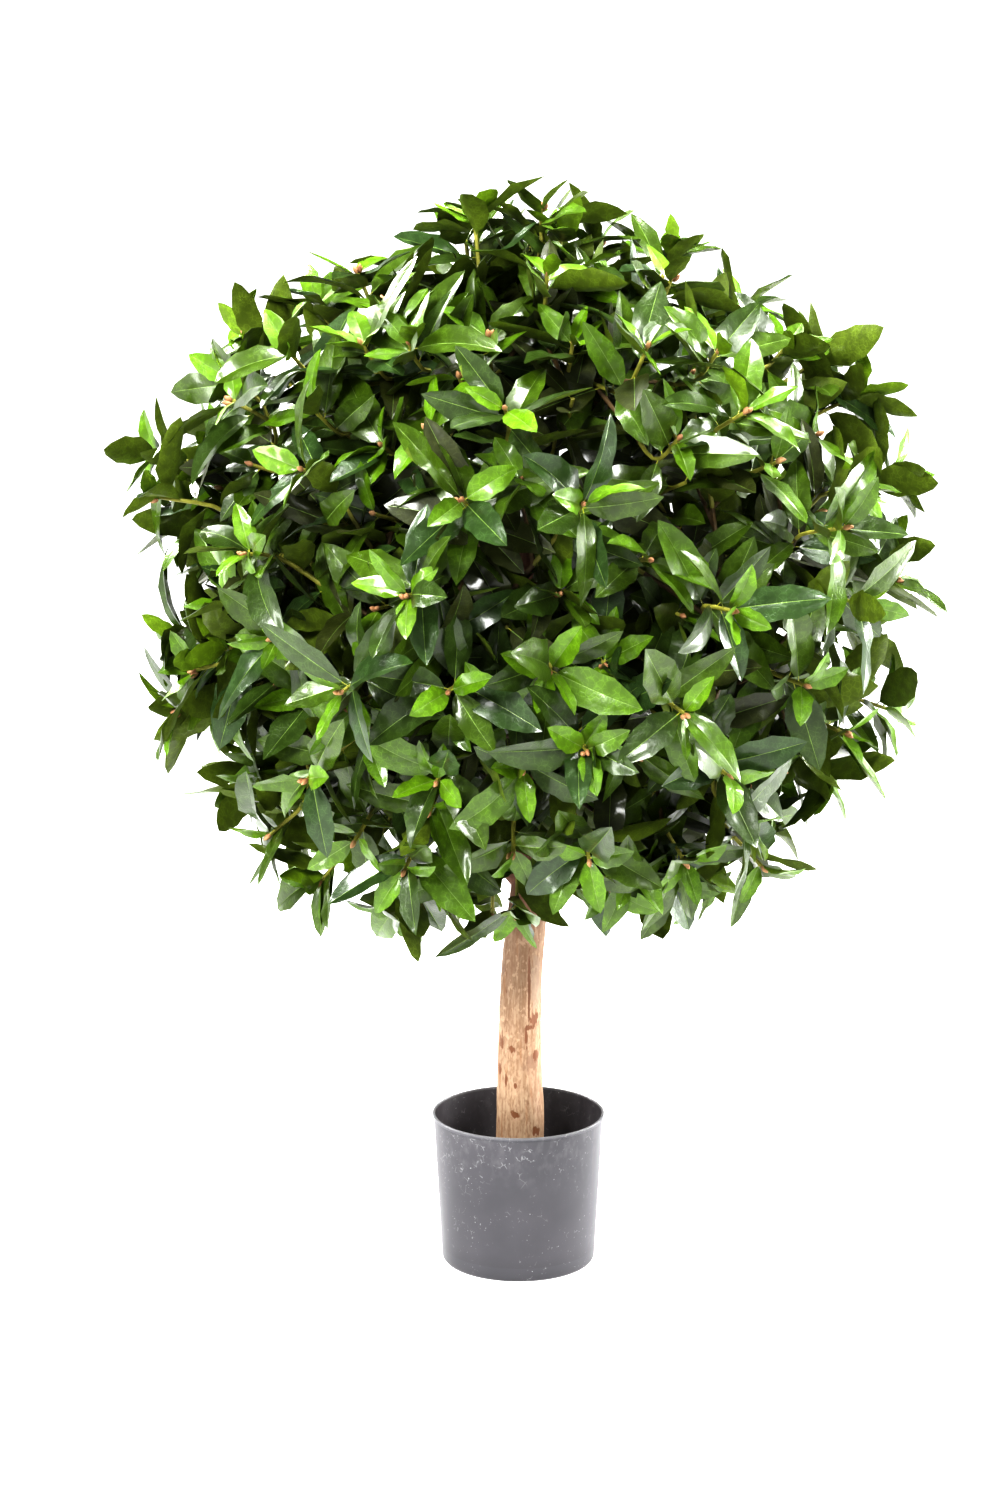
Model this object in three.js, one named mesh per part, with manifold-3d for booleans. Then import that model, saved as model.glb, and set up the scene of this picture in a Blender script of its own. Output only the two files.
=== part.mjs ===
// A bay laurel ball on one bare stem, as an artificial patio plant: a natural wood trunk on the cement
// fill of a small black nursery pot, with five boughs. Each bough and the trunk's own tip carries one
// mass of leafy twigs, and the six masses share the ball.
// Millimetres, +Z up. The origin is the centre of the pot's flat underside, and -Y is the front.
import * as THREE from "three";
import { mergeVertices } from "three/addons/utils/BufferGeometryUtils.js";
import Module from "manifold-3d";

const wasm = await Module();
wasm.setup();

// ---- Driving dimensions ----
const GAP = 0.3; // between solids that touch on the real plant
const SLIVER = 0.05; // edges shorter than this are closed up after a cut

const POT_HEIGHT = 155;
const POT_TOP_R = 86;
const POT_BASE_R = 77.5;
const POT_WALL = 1.6;
const POT_FLOOR = 3;
const LIP_DEPTH = 4; // height of the thickened rim
const LIP_OUT = 1.2; // how far the rim stands out of the wall
const POT_CORNER = 5; // radius of the bottom edge
const POT_SIDES = 40;

const FILL_TOP = 92; // level of the cement in the pot, which the trunk's flat cut stands on
const FLARE = 2.2; // extra radius at the trunk's foot
const FLARE_RISE = 30; // and how fast it fades

// The trunk's bends: x, y and z of its centreline, then its radius.
const TRUNK = [
  [1.8, 0, FILL_TOP + GAP, 24],
  [1.6, 0, 155, 23.6],
  [1.1, 0, 220, 22],
  [2, 0, 273, 21.3],
  [5, 2, 335, 20.4],
  [11, 3, 392, 18.6],
  [14, 0, 470, 15.5],
  [12, -4, 545, 13],
  [8, -2, 640, 10.5],
  [6, 0, 742, 7],
];
const TRUNK_SIDES = 16;
const TRUNK_RINGS = 22;

const CROWN = new THREE.Vector3(6, 0, 705); // centre of the ball
// From there to the leaf tips in the front view, every 20 degrees from +X over the top.
const OUTLINE = [
  412, 414, 407, 376, 387, 392, 380, 410, 420, 400, 403, 404, 402, 384, 354, 402, 404, 417,
];
const BALL_R = 396; // the ball's height and width at right angles to that
const WIDER = 1.03;
const CORE_R = 322; // outside of the dense inner foliage
// The room inside it that the boughs rise in: radius, and height from the crown's centre.
const HOLLOW = [
  [46, -340],
  [54, -300],
  [84, -228],
  [126, -155],
  [168, -80],
  [186, 0],
  [160, 94],
  [94, 162],
  [0, 186],
];
const HOLLOW_SIDES = 20;
const CORE_DETAIL = 3; // how often the icosahedron under the inner foliage is divided
const CELL_GAP = 1.6; // each mass keeps this far inside its own space

const BOUGH_TIP_R = 150; // from the crown's axis to each bough's tip
const BOUGH_TIP_Z = 622;
const BOUGH_FOOT_R = 9.2;
const BOUGH_END_R = 6;
const BOUGH_SIDES = 8;
const BOUGH_RINGS = 9;
const BOUGH_BEND = { out: 66, rise: 0.42, most: 84 }; // off the trunk, with a share of the rise
const BOUGH_KNEE = { share: 0.78, out: 5 }; // along the way to the tip
// Where each bough leaves the trunk, and its bearing from +X towards +Y.
const BOUGHS = [
  { name: "left", bearing: 180, height: 386 },
  { name: "front_right", bearing: 324, height: 420 },
  { name: "back", bearing: 108, height: 452 },
  { name: "front", bearing: 252, height: 486 },
  { name: "back_right", bearing: 36, height: 518 },
];
const SIDE_TILT = -10; // degrees: the five side masses face slightly down
const HUB_R = 238; // where a mass's stem ends and its last twigs part
const STEM_SHARE = 0.94; // its radius, as a share of the limb's that it grows on from
const STEM_SIDES = 6;

const TWIGS = 72; // evenly spread over the ball
const TWIG_TIP_R = 346;
const TWIG_TIP_SPREAD = 14;
const TWIG_FOOT_SHARE = 0.55; // a twig leaves the stem this far up it, and further if it runs along it
const TWIG_ELBOW = { share: 0.6, depth: 24 }; // where it bends, and how far inside the core it ends that
const TWIG_FOOT = 5.5; // radius at the stem
const TWIG_END = 3;
const TWIG_SIDES = 3;
const TWIG_RINGS = 2;
const TWIG_JITTER = 0.1; // radians
const TWIG_OFF_WALL = 0.07; // a twig's direction keeps this far from the edge of its mass's space

// The whorl at a twig's end: young leaves inside, grown ones outside. "back" is where the first leaf
// and each further one sit, from the twig's end, and "spread" the least and most opening in degrees.
const YOUNG = { count: 3, length: 78, back: [4, 2], spread: [34, 48] };
const GROWN = { count: 6, length: 106, back: [9, 5], spread: [60, 84] };
const LEAF_SIZES = [0.9, 1.1]; // the smallest and the largest, as shares of those lengths
const LEAF_SHAPE = { width: 0.37, thick: 0.022, widest: 0.43, rib: 0.28, fold: 0.16, droop: 0.09 };
// A leaf that doesn't fit its space closes up by these shares of its spread, or turns by these angles.
const CLOSINGS = [1, 0.85, 0.65, 0.4];
const TURNS = [0, 0.6, -0.6, 1.1, -1.1]; // radians
const LEAF_OVER = 14; // how far a single tip may pass the outline
const LIMB_CLEAR = 3; // leaves stay this far off the wood
const TRUNK_CLEAR = 24; // and twig ends this far

const GOLDEN_ANGLE = Math.PI * (3 - Math.sqrt(5));
const SEED = 7.31;

// ---- Helpers ----
const rad = THREE.MathUtils.degToRad;

// A number from 0 to 1 that is always the same for the same twig and purpose.
function chance(twig, purpose) {
  const x = Math.sin(SEED + 12.9898 * twig + 78.233 * purpose) * 43758.5453;
  return x - Math.floor(x);
}

function solid(geometry) {
  const bare = new THREE.BufferGeometry();
  bare.setAttribute("position", geometry.getAttribute("position"));
  bare.setIndex(geometry.index);
  const merged = mergeVertices(bare, 1e-4);
  const triVerts = new Uint32Array(merged.index.array);
  const vertProperties = merged.attributes.position.array;
  return new wasm.Manifold(new wasm.Mesh({ numProp: 3, vertProperties, triVerts }));
}

function geometryOf(manifold) {
  const mesh = manifold.getMesh();
  const positions = new Float32Array(mesh.numVert * 3);
  for (let i = 0; i < mesh.numVert; i++) {
    positions.set(mesh.vertProperties.subarray(i * mesh.numProp, i * mesh.numProp + 3), i * 3);
  }
  const geometry = new THREE.BufferGeometry();
  geometry.setAttribute("position", new THREE.BufferAttribute(positions, 3));
  geometry.setIndex(new THREE.BufferAttribute(mesh.triVerts, 1));
  geometry.computeVertexNormals();
  return geometry;
}

function joined(solids) {
  return solids.reduce((whole, piece) => whole.add(piece));
}

// The largest body, so that a scrap that fused to nothing is dropped, without the slivers of its cuts.
function largest(manifold) {
  const [whole] = manifold.decompose().sort((a, b) => b.volume() - a.volume());
  return whole.asOriginal().simplify(SLIVER);
}

// A limb: a cylinder bent along a smooth line, with its own radius at each ring. With some
// clearance it is the room that the limb needs, a little longer and thicker than the limb.
function limb(curve, radiusAt, sides, rings, clearance = 0) {
  const geometry = new THREE.CylinderGeometry(1, 1, 1, sides, rings);
  const frames = curve.computeFrenetFrames(rings);
  const centres = curve.getSpacedPoints(rings);
  centres[0].addScaledVector(frames.tangents[0], -clearance);
  centres[rings].addScaledVector(frames.tangents[rings], clearance);
  const position = geometry.getAttribute("position");
  const point = new THREE.Vector3();
  for (let i = 0; i < position.count; i++) {
    point.fromBufferAttribute(position, i);
    const ring = Math.round((point.y + 0.5) * rings);
    const across = frames.normals[ring];
    const other = new THREE.Vector3().crossVectors(across, frames.tangents[ring]);
    const radius = radiusAt(ring / rings, centres[ring]) + 1.5 * clearance;
    const moved = centres[ring]
      .clone()
      .addScaledVector(across, point.x * radius)
      .addScaledVector(other, point.z * radius);
    position.setXYZ(i, moved.x, moved.y, moved.z);
  }
  return geometry;
}

// ---- Pot and cement ----
function potWallR(z) {
  return THREE.MathUtils.lerp(POT_BASE_R, POT_TOP_R, z / POT_HEIGHT);
}

function potInsideR(z) {
  const share = (z - POT_FLOOR) / (POT_HEIGHT - POT_FLOOR);
  const floorR = potWallR(POT_CORNER) - POT_CORNER / 2;
  return THREE.MathUtils.lerp(floorR, POT_TOP_R - POT_WALL, share);
}

function potProfile() {
  const corner = new THREE.Path();
  corner.absarc(potWallR(POT_CORNER) - POT_CORNER, POT_CORNER, POT_CORNER, -Math.PI / 2, 0, false);
  const lipFoot = POT_HEIGHT - LIP_DEPTH;
  return [
    new THREE.Vector2(0, 0),
    ...corner.getPoints(4),
    new THREE.Vector2(potWallR(lipFoot), lipFoot),
    new THREE.Vector2(potWallR(lipFoot) + LIP_OUT, lipFoot + LIP_OUT),
    new THREE.Vector2(POT_TOP_R + LIP_OUT, POT_HEIGHT),
    new THREE.Vector2(potInsideR(POT_HEIGHT), POT_HEIGHT),
    new THREE.Vector2(potInsideR(POT_FLOOR), POT_FLOOR),
    new THREE.Vector2(0, POT_FLOOR),
  ];
}

// A lathe turns about Y, so it is stood up along Z. Its side of the profile must face out.
function turned(profile, sides) {
  return new THREE.LatheGeometry(profile, sides).rotateX(Math.PI / 2);
}

function cementProfile() {
  const foot = POT_FLOOR + GAP;
  return [
    new THREE.Vector2(0, foot),
    new THREE.Vector2(potInsideR(foot) - GAP, foot),
    new THREE.Vector2(potInsideR(FILL_TOP) - GAP, FILL_TOP),
    new THREE.Vector2(0, FILL_TOP),
  ];
}

// ---- Trunk and boughs ----
const trunkLine = new THREE.CatmullRomCurve3(TRUNK.map(([x, y, z]) => new THREE.Vector3(x, y, z)));

function trunkRadius(z) {
  const above = Math.max(1, TRUNK.findIndex((station) => station[2] >= z));
  const [lower, upper] = [TRUNK[above - 1], TRUNK[above]];
  const share = THREE.MathUtils.clamp((z - lower[2]) / (upper[2] - lower[2]), 0, 1);
  const flare = FLARE * Math.exp(-(z - FILL_TOP) / FLARE_RISE);
  return THREE.MathUtils.lerp(lower[3], upper[3], share) + flare;
}

function trunkGeometry(clearance) {
  const radiusAt = (share, centre) => trunkRadius(centre.z);
  return limb(trunkLine, radiusAt, TRUNK_SIDES, TRUNK_RINGS, clearance);
}

function trunkAt(z) {
  const samples = trunkLine.getSpacedPoints(200);
  return samples.reduce((a, b) => (Math.abs(a.z - z) < Math.abs(b.z - z) ? a : b));
}

function bearingVector(degrees) {
  return new THREE.Vector3(Math.cos(rad(degrees)), Math.sin(rad(degrees)), 0);
}

function boughTip(bough) {
  const tip = CROWN.clone().addScaledVector(bearingVector(bough.bearing), BOUGH_TIP_R);
  return tip.setZ(BOUGH_TIP_Z);
}

function boughLine(bough) {
  const foot = trunkAt(bough.height);
  const out = bearingVector(bough.bearing);
  const tip = boughTip(bough);
  const rise = BOUGH_TIP_Z - bough.height;
  const bend = foot.clone().addScaledVector(out, BOUGH_BEND.out);
  bend.z += Math.min(BOUGH_BEND.most, rise * BOUGH_BEND.rise);
  const knee = foot.clone().lerp(tip, BOUGH_KNEE.share).addScaledVector(out, BOUGH_KNEE.out);
  return new THREE.CatmullRomCurve3([foot, bend, knee, tip]);
}

function boughGeometry(bough, clearance) {
  const radiusAt = (share) => THREE.MathUtils.lerp(BOUGH_FOOT_R, BOUGH_END_R, share);
  return limb(boughLine(bough), radiusAt, BOUGH_SIDES, BOUGH_RINGS, clearance);
}

// ---- Foliage masses ----
function sideFacing(bough) {
  const out = bearingVector(bough.bearing).multiplyScalar(Math.cos(rad(SIDE_TILT)));
  return out.setZ(Math.sin(rad(SIDE_TILT)));
}

const MASSES = [
  { name: "top", facing: new THREE.Vector3(0, 0, 1), from: trunkLine.getPoint(1), limbR: 7 },
  ...BOUGHS.map((bough) => ({
    name: bough.name,
    facing: sideFacing(bough),
    from: boughTip(bough),
    limbR: BOUGH_END_R,
  })),
];

// How far the leaves reach in a direction: the outline's figure in the plane of the front view,
// changing to an even, slightly wide ball towards the front and the back.
function reachOf(direction) {
  const { x, y, z } = direction;
  const place = ((THREE.MathUtils.radToDeg(Math.atan2(z, x)) + 360) % 360) / (360 / OUTLINE.length);
  const before = Math.floor(place) % OUTLINE.length;
  const after = (before + 1) % OUTLINE.length;
  const seen = THREE.MathUtils.lerp(OUTLINE[before], OUTLINE[after], place - Math.floor(place));
  const even = BALL_R * Math.hypot(x * WIDER, y * WIDER, z);
  return THREE.MathUtils.lerp(even, seen, (1 - y * y) ** 2);
}

// A point of the crown by its direction and its distance, were the crown an even ball.
function onBall(direction, distance) {
  const stretch = reachOf(direction) / BALL_R;
  return CROWN.clone().addScaledVector(direction, distance * stretch);
}

// A mass's space is the wedge of the ball that is nearer to its own facing than to any other.
function wallsOf(mass) {
  return MASSES.filter((other) => other !== mass).map((other) =>
    mass.facing.clone().sub(other.facing).normalize(),
  );
}

function trimmed(whole, walls) {
  return walls.reduce((rest, wall) => {
    return rest.trimByPlane(wall.toArray(), wall.dot(CROWN) + CELL_GAP);
  }, whole);
}

function keepsToSpace(points, walls) {
  return points.every((point) => {
    const fromCentre = point.clone().sub(CROWN);
    return walls.every((wall) => fromCentre.dot(wall) > CELL_GAP);
  });
}

function withinReach(points) {
  return points.every((point) => {
    const out = point.clone().sub(CROWN);
    return out.length() < reachOf(out.clone().normalize()) + LEAF_OVER;
  });
}

// Balls along the wood, for telling whether a leaf would touch it.
const WOOD = [
  ...trunkLine.getSpacedPoints(70).map((at) => ({ at, r: trunkRadius(at.z) })),
  ...BOUGHS.flatMap((bough) => boughLine(bough).getSpacedPoints(24)).map((at) => ({
    at,
    r: BOUGH_FOOT_R,
  })),
];

const trunkRoom = solid(trunkGeometry(GAP));
const woodRoom = joined([trunkRoom, ...BOUGHS.map((bough) => solid(boughGeometry(bough, GAP)))]);

function clearOfWood(points, clearance) {
  return points.every((point) => WOOD.every(({ at, r }) => point.distanceTo(at) > r + clearance));
}

// The dense inner foliage of the whole crown, round the room that the boughs rise in.
function crownCore() {
  const ball = new THREE.IcosahedronGeometry(1, CORE_DETAIL);
  const position = ball.getAttribute("position");
  for (let i = 0; i < position.count; i++) {
    const direction = new THREE.Vector3().fromBufferAttribute(position, i).normalize();
    position.setXYZ(i, ...onBall(direction, CORE_R));
  }
  return solid(ball).subtract(boughRoom());
}

function boughRoom() {
  const profile = HOLLOW.map(([radius, height]) => new THREE.Vector2(radius, CROWN.z + height));
  profile.unshift(new THREE.Vector2(0, profile[0].y));
  return solid(turned(profile, HOLLOW_SIDES).translate(CROWN.x, CROWN.y, 0));
}

// A mass's stem starts at its limb's tip, and the room round the limb cuts it off just clear of that.
function stemLine(mass) {
  return new THREE.LineCurve3(mass.from, onBall(mass.facing, HUB_R));
}

// Twig ends lie on a spiral that covers the ball evenly, each moved a little.
function twigDirection(twig) {
  const height = 1 - (2 * (twig + 0.5)) / TWIGS;
  const turn = twig * GOLDEN_ANGLE + (chance(twig, 1) - 0.5) * 2 * TWIG_JITTER;
  const polar = Math.acos(height) + (chance(twig, 2) - 0.5) * 2 * TWIG_JITTER;
  return new THREE.Vector3(
    Math.sin(polar) * Math.cos(turn),
    Math.sin(polar) * Math.sin(turn),
    Math.cos(polar),
  );
}

function massOf(direction) {
  return MASSES.reduce((a, b) => (a.facing.dot(direction) >= b.facing.dot(direction) ? a : b));
}

// A twig leaves its stem and bends outwards, so that it ends square to the ball.
function twigLine(twig, mass, walls) {
  const direction = twigDirection(twig);
  for (const wall of walls) {
    direction.addScaledVector(wall, Math.max(0, TWIG_OFF_WALL - direction.dot(wall))).normalize();
  }
  const tip = onBall(direction, TWIG_TIP_R + (chance(twig, 3) - 0.5) * 2 * TWIG_TIP_SPREAD);
  const along = THREE.MathUtils.lerp(TWIG_FOOT_SHARE, 1, mass.facing.dot(direction));
  const foot = stemLine(mass).getPoint(along);
  const elbow = onBall(direction, CORE_R - TWIG_ELBOW.depth);
  const middle = foot.clone().lerp(elbow, TWIG_ELBOW.share);
  return new THREE.CatmullRomCurve3([foot, middle, elbow, tip]);
}

// One leaf: an octahedron drawn out to a blade with a folded rib, its stalk end at the origin,
// its length along +Y and its upper face towards +Z.
function leafPoints(length) {
  const { width, thick, widest, rib, fold, droop } = LEAF_SHAPE;
  const side = (width * length) / 2;
  const low = -droop * length;
  return {
    foot: new THREE.Vector3(0, 0, 0),
    tip: new THREE.Vector3(0, length, low),
    left: new THREE.Vector3(-side, widest * length, fold * side),
    right: new THREE.Vector3(side, widest * length, fold * side),
    top: new THREE.Vector3(0, rib * length, (thick * length) / 2),
    under: new THREE.Vector3(0, rib * length, (-thick * length) / 2),
  };
}

function leafGeometry(points) {
  const geometry = new THREE.OctahedronGeometry(1, 0);
  const position = geometry.getAttribute("position");
  for (let i = 0; i < position.count; i++) {
    const [x, y, z] = [position.getX(i), position.getY(i), position.getZ(i)];
    let point = z > 0 ? points.top : points.under;
    if (Math.abs(x) > 0.5) point = x > 0 ? points.right : points.left;
    if (Math.abs(y) > 0.5) point = y > 0 ? points.tip : points.foot;
    position.setXYZ(i, point.x, point.y, point.z);
  }
  return mergeVertices(new THREE.BufferGeometry().setAttribute("position", position), 1e-4);
}

// Where leaf number n of a twig stands: its matrix, opened out from the twig's own direction.
function leafPlace(line, twig, n, closing, turned) {
  const kind = kindOf(n);
  const back = kind.back[0] + kind.back[1] * kind.place;
  const share = 1 - back / line.getLength();
  const along = line.getTangentAt(share);
  const turn = n * GOLDEN_ANGLE + chance(twig, 4) * 2 * Math.PI + turned;
  const outward = new THREE.Vector3(0, 0, 1).cross(along).normalize().applyAxisAngle(along, turn);
  const open = rad(THREE.MathUtils.lerp(...kind.spread, chance(twig, 10 + n))) * closing;
  const yAxis = along.clone().multiplyScalar(Math.cos(open)).addScaledVector(outward, Math.sin(open));
  const zAxis = along.clone().multiplyScalar(Math.sin(open)).addScaledVector(outward, -Math.cos(open));
  const xAxis = new THREE.Vector3().crossVectors(yAxis, zAxis);
  return new THREE.Matrix4().makeBasis(xAxis, yAxis, zAxis).setPosition(line.getPointAt(share));
}

function kindOf(n) {
  return n < YOUNG.count ? { ...YOUNG, place: n } : { ...GROWN, place: n - YOUNG.count };
}

function leafOf(line, twig, n, walls) {
  const points = leafPoints(kindOf(n).length * THREE.MathUtils.lerp(...LEAF_SIZES, chance(twig, 20 + n)));
  const tries = CLOSINGS.flatMap((closing) => TURNS.map((turned) => [closing, turned]));
  for (const [closing, turned] of tries) {
    const place = leafPlace(line, twig, n, closing, turned);
    const placed = Object.values(points).map((point) => point.clone().applyMatrix4(place));
    const free = clearOfWood(placed.slice(1), LIMB_CLEAR);
    if (free && withinReach(placed) && keepsToSpace(placed, walls)) {
      return solid(leafGeometry(points).applyMatrix4(place));
    }
  }
  return null;
}

function twigSolids(twig, mass, walls) {
  const line = twigLine(twig, mass, walls);
  if (!clearOfWood([line.getPoint(1)], TRUNK_CLEAR)) return [];
  const radiusAt = (share) => THREE.MathUtils.lerp(TWIG_FOOT, TWIG_END, share);
  const wood = solid(limb(line, radiusAt, TWIG_SIDES, TWIG_RINGS));
  const numbers = [...Array(YOUNG.count + GROWN.count).keys()];
  const leaves = numbers.map((n) => leafOf(line, twig, n, walls)).filter((leaf) => leaf !== null);
  return [wood, ...leaves];
}

function massSolid(mass, core) {
  const walls = wallsOf(mass);
  const stem = solid(limb(stemLine(mass), () => mass.limbR * STEM_SHARE, STEM_SIDES, 1));
  const pieces = [core, stem];
  for (let twig = 0; twig < TWIGS; twig++) {
    if (massOf(twigDirection(twig)) === mass) pieces.push(...twigSolids(twig, mass, walls));
  }
  return largest(trimmed(joined(pieces), walls).subtract(woodRoom));
}

// ---- Assembly ----
const plant = new THREE.Group();

function add(name, geometry, material) {
  const mesh = new THREE.Mesh(geometry, material);
  mesh.name = name;
  plant.add(mesh);
}

const potPlastic = new THREE.MeshStandardMaterial({ color: 0x3b3b3f, roughness: 0.45 });
const cement = new THREE.MeshStandardMaterial({ color: 0x2e2a27, roughness: 0.95 });
const bark = new THREE.MeshStandardMaterial({ color: 0xb48a62, roughness: 0.8 });
const foliage = new THREE.MeshStandardMaterial({ color: 0x35602a, roughness: 0.4 });

add("pot", turned(potProfile(), POT_SIDES), potPlastic);
add("cement", turned(cementProfile(), POT_SIDES), cement);
add("trunk", trunkGeometry(0), bark);
for (const bough of BOUGHS) {
  const wood = solid(boughGeometry(bough, 0)).subtract(trunkRoom);
  add("bough_" + bough.name, geometryOf(largest(wood)), bark);
}
const core = crownCore();
for (const mass of MASSES) add("foliage_" + mass.name, geometryOf(massSolid(mass, core)), foliage);

export default plant;
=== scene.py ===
# %% [markdown]
# # An artificial bay laurel ball in its nursery pot
#
# The real thing is a patio plant that never grows: a length of natural wood stands in cement in a small
# black nursery pot, five boughs leave it inside the ball, and wired twigs with leaves of cloth and soft
# plastic are pushed into them until the ball is full. A few shapes repeat thousands of times, so the
# lesson is about rules: one places the twigs, one places the leaves on a twig, and one bends each leaf.
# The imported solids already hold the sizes, and everything here follows them.

# %% Load the frame
import math

import bpy
import numpy as np
from mathutils import Matrix, Vector


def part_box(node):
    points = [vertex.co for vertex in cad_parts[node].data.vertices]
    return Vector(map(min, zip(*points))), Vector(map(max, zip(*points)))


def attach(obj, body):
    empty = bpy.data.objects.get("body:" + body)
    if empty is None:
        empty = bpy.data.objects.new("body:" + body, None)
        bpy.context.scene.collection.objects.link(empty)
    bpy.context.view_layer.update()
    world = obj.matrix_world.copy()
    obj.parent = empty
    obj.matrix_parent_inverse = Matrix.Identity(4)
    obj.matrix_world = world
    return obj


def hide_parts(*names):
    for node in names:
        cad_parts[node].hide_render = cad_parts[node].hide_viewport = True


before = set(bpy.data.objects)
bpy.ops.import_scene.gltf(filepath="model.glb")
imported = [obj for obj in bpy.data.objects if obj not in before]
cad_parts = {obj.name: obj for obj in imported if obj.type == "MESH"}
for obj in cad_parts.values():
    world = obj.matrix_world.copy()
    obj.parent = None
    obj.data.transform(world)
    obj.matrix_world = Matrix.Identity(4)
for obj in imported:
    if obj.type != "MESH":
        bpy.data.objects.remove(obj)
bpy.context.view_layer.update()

# %% [markdown]
# ## Camera
#
# A long lens, well back and a little above the ball's middle, looks down by some twelve degrees. It
# could be aimed with a tracking constraint, but a plain turn is easier to read and never drifts.

# %% Camera
CAMERA_PLACE = (-0.0187, -3.4, 1.266)
CAMERA_DOWN = math.radians(12.2)
CAMERA_LENS = 84.0  # millimetres, and so is the sensor
CAMERA_SENSOR = 36.0

bpy.ops.object.camera_add(location=CAMERA_PLACE, rotation=(math.pi / 2 - CAMERA_DOWN, 0, 0))
camera = bpy.context.object
camera.data.lens = CAMERA_LENS
camera.data.sensor_width = CAMERA_SENSOR
bpy.context.scene.camera = camera
print("camera", camera.data.lens, "mm, sees", round(math.degrees(camera.data.angle), 1), "degrees")

# %% [markdown]
# ## Floor and studio light
#
# Glossy leaves only look glossy when they have something bright to reflect and something dark beside
# it, so the room itself is dim and the soft boxes round the plant are bright. The floor is a wide pale
# disc that glows like a light table, so it stays white everywhere. A low band of the room glows too,
# so that the floor meets no dark wall when the plant is looked at from the side. The picture is then
# developed with some contrast, which a sum of more lamps could not give.

# %% Floor
FLOOR_R = 900.0
FLOOR_SIDES = 96

bpy.ops.object.select_all(action="DESELECT")
bpy.ops.mesh.primitive_circle_add(vertices=FLOOR_SIDES, radius=FLOOR_R, fill_type="NGON")
floor = bpy.context.object
floor.name = "floor"
print("a floor", 2 * FLOOR_R, "m across")

# %% World and soft boxes
WORLD_STRENGTH = 0.07
WALL_STRENGTH = 0.6
WALL_RISE = (0.06, 0.10)  # sines of the heights between which the bright wall fades
SOFT_BOXES = {  # place, what each looks at, width, height, and watts
    "key": ((-1.5, -2.4, 2.5), (0, 0, 0.7), 1.0, 1.0, 124),
    "front right": ((1.7, -2.0, 1.9), (0, 0, 0.7), 0.5, 0.5, 34),
    "left strip": ((-2.1, -0.9, 0.9), (0, 0, 0.6), 0.25, 1.5, 22),
    "right strip": ((2.1, 0.3, 0.7), (0, 0, 0.5), 0.4, 1.3, 54),
    "top": ((0.3, -0.2, 2.9), (0, 0, 0.8), 0.9, 0.9, 92),
    "back left": ((-1.8, 1.7, 2.1), (0, 0, 0.8), 0.8, 0.8, 90),
    "back right": ((1.9, 1.5, 1.9), (0, 0, 0.8), 0.7, 0.7, 56),
}

world = bpy.data.worlds.new("dim room")
world.use_nodes = True
wires = world.node_tree
looking = wires.nodes.new("ShaderNodeTexCoord")
upward = wires.nodes.new("ShaderNodeSeparateXYZ")
room = wires.nodes.new("ShaderNodeMapRange")
room.interpolation_type = "SMOOTHSTEP"
room_ends = (*WALL_RISE, WALL_STRENGTH, WORLD_STRENGTH)
for name, value in zip(("From Min", "From Max", "To Min", "To Max"), room_ends):
    room.inputs[name].default_value = value
wires.links.new(looking.outputs["Generated"], upward.inputs[0])
wires.links.new(upward.outputs["Z"], room.inputs["Value"])
wires.links.new(room.outputs[0], wires.nodes["Background"].inputs["Strength"])
wires.nodes["Background"].inputs["Color"].default_value = (1.0, 1.0, 1.0, 1.0)
bpy.context.scene.world = world

CONTRAST = 1.4  # as a studio picture is developed, with deep shade and clean whites
EXPOSURE = 0.80
view = bpy.context.scene.view_settings
view.view_transform = "Standard"
view.gamma = 1 / CONTRAST
view.exposure = EXPOSURE

for name, (place, aim, width, height, watts) in SOFT_BOXES.items():
    turn = (Vector(aim) - Vector(place)).to_track_quat("-Z", "Y").to_euler()
    bpy.ops.object.light_add(type="AREA", location=place, rotation=turn)
    box = bpy.context.object
    box.name = "soft box " + name
    box.data.shape = "RECTANGLE"
    box.data.size = width
    box.data.size_y = height
    box.data.energy = watts
    box.visible_camera = False
print(len(SOFT_BOXES), "soft boxes in a dim room")

# %% [markdown]
# ## Writing materials as sums
#
# A node tree is only arithmetic on pictures. Wiring it by hand in code is hard to read, so a small
# class wraps a socket and turns `1 - mask` or `grain * 0.3` into Math nodes. Every other node comes
# from one method that takes its type, its settings and what goes into its sockets.

# %% A socket that can be added and multiplied
class Signal:
    def __init__(self, finish, socket):
        self.finish = finish
        self.socket = socket

    def maths(self, operation, first, second):
        return self.finish.node("ShaderNodeMath", {"operation": operation}, {0: first, 1: second})

    def __add__(self, other):
        return self.maths("ADD", self, other)

    def __sub__(self, other):
        return self.maths("SUBTRACT", self, other)

    def __rsub__(self, other):
        return self.maths("SUBTRACT", other, self)

    def __mul__(self, other):
        return self.maths("MULTIPLY", self, other)

    __radd__ = __add__
    __rmul__ = __mul__


# %% One material, and its nodes
BLOT_EDGE = (1.05, 0.75)  # shares of a blot's size between which it comes in
BLOT_GRAIN = (330, 5.0, (1, 1, 0.35))


def grey(level):
    return (level, level, level)


def opaque(colour):
    return colour if isinstance(colour, Signal) else (*colour, 1.0)


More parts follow.
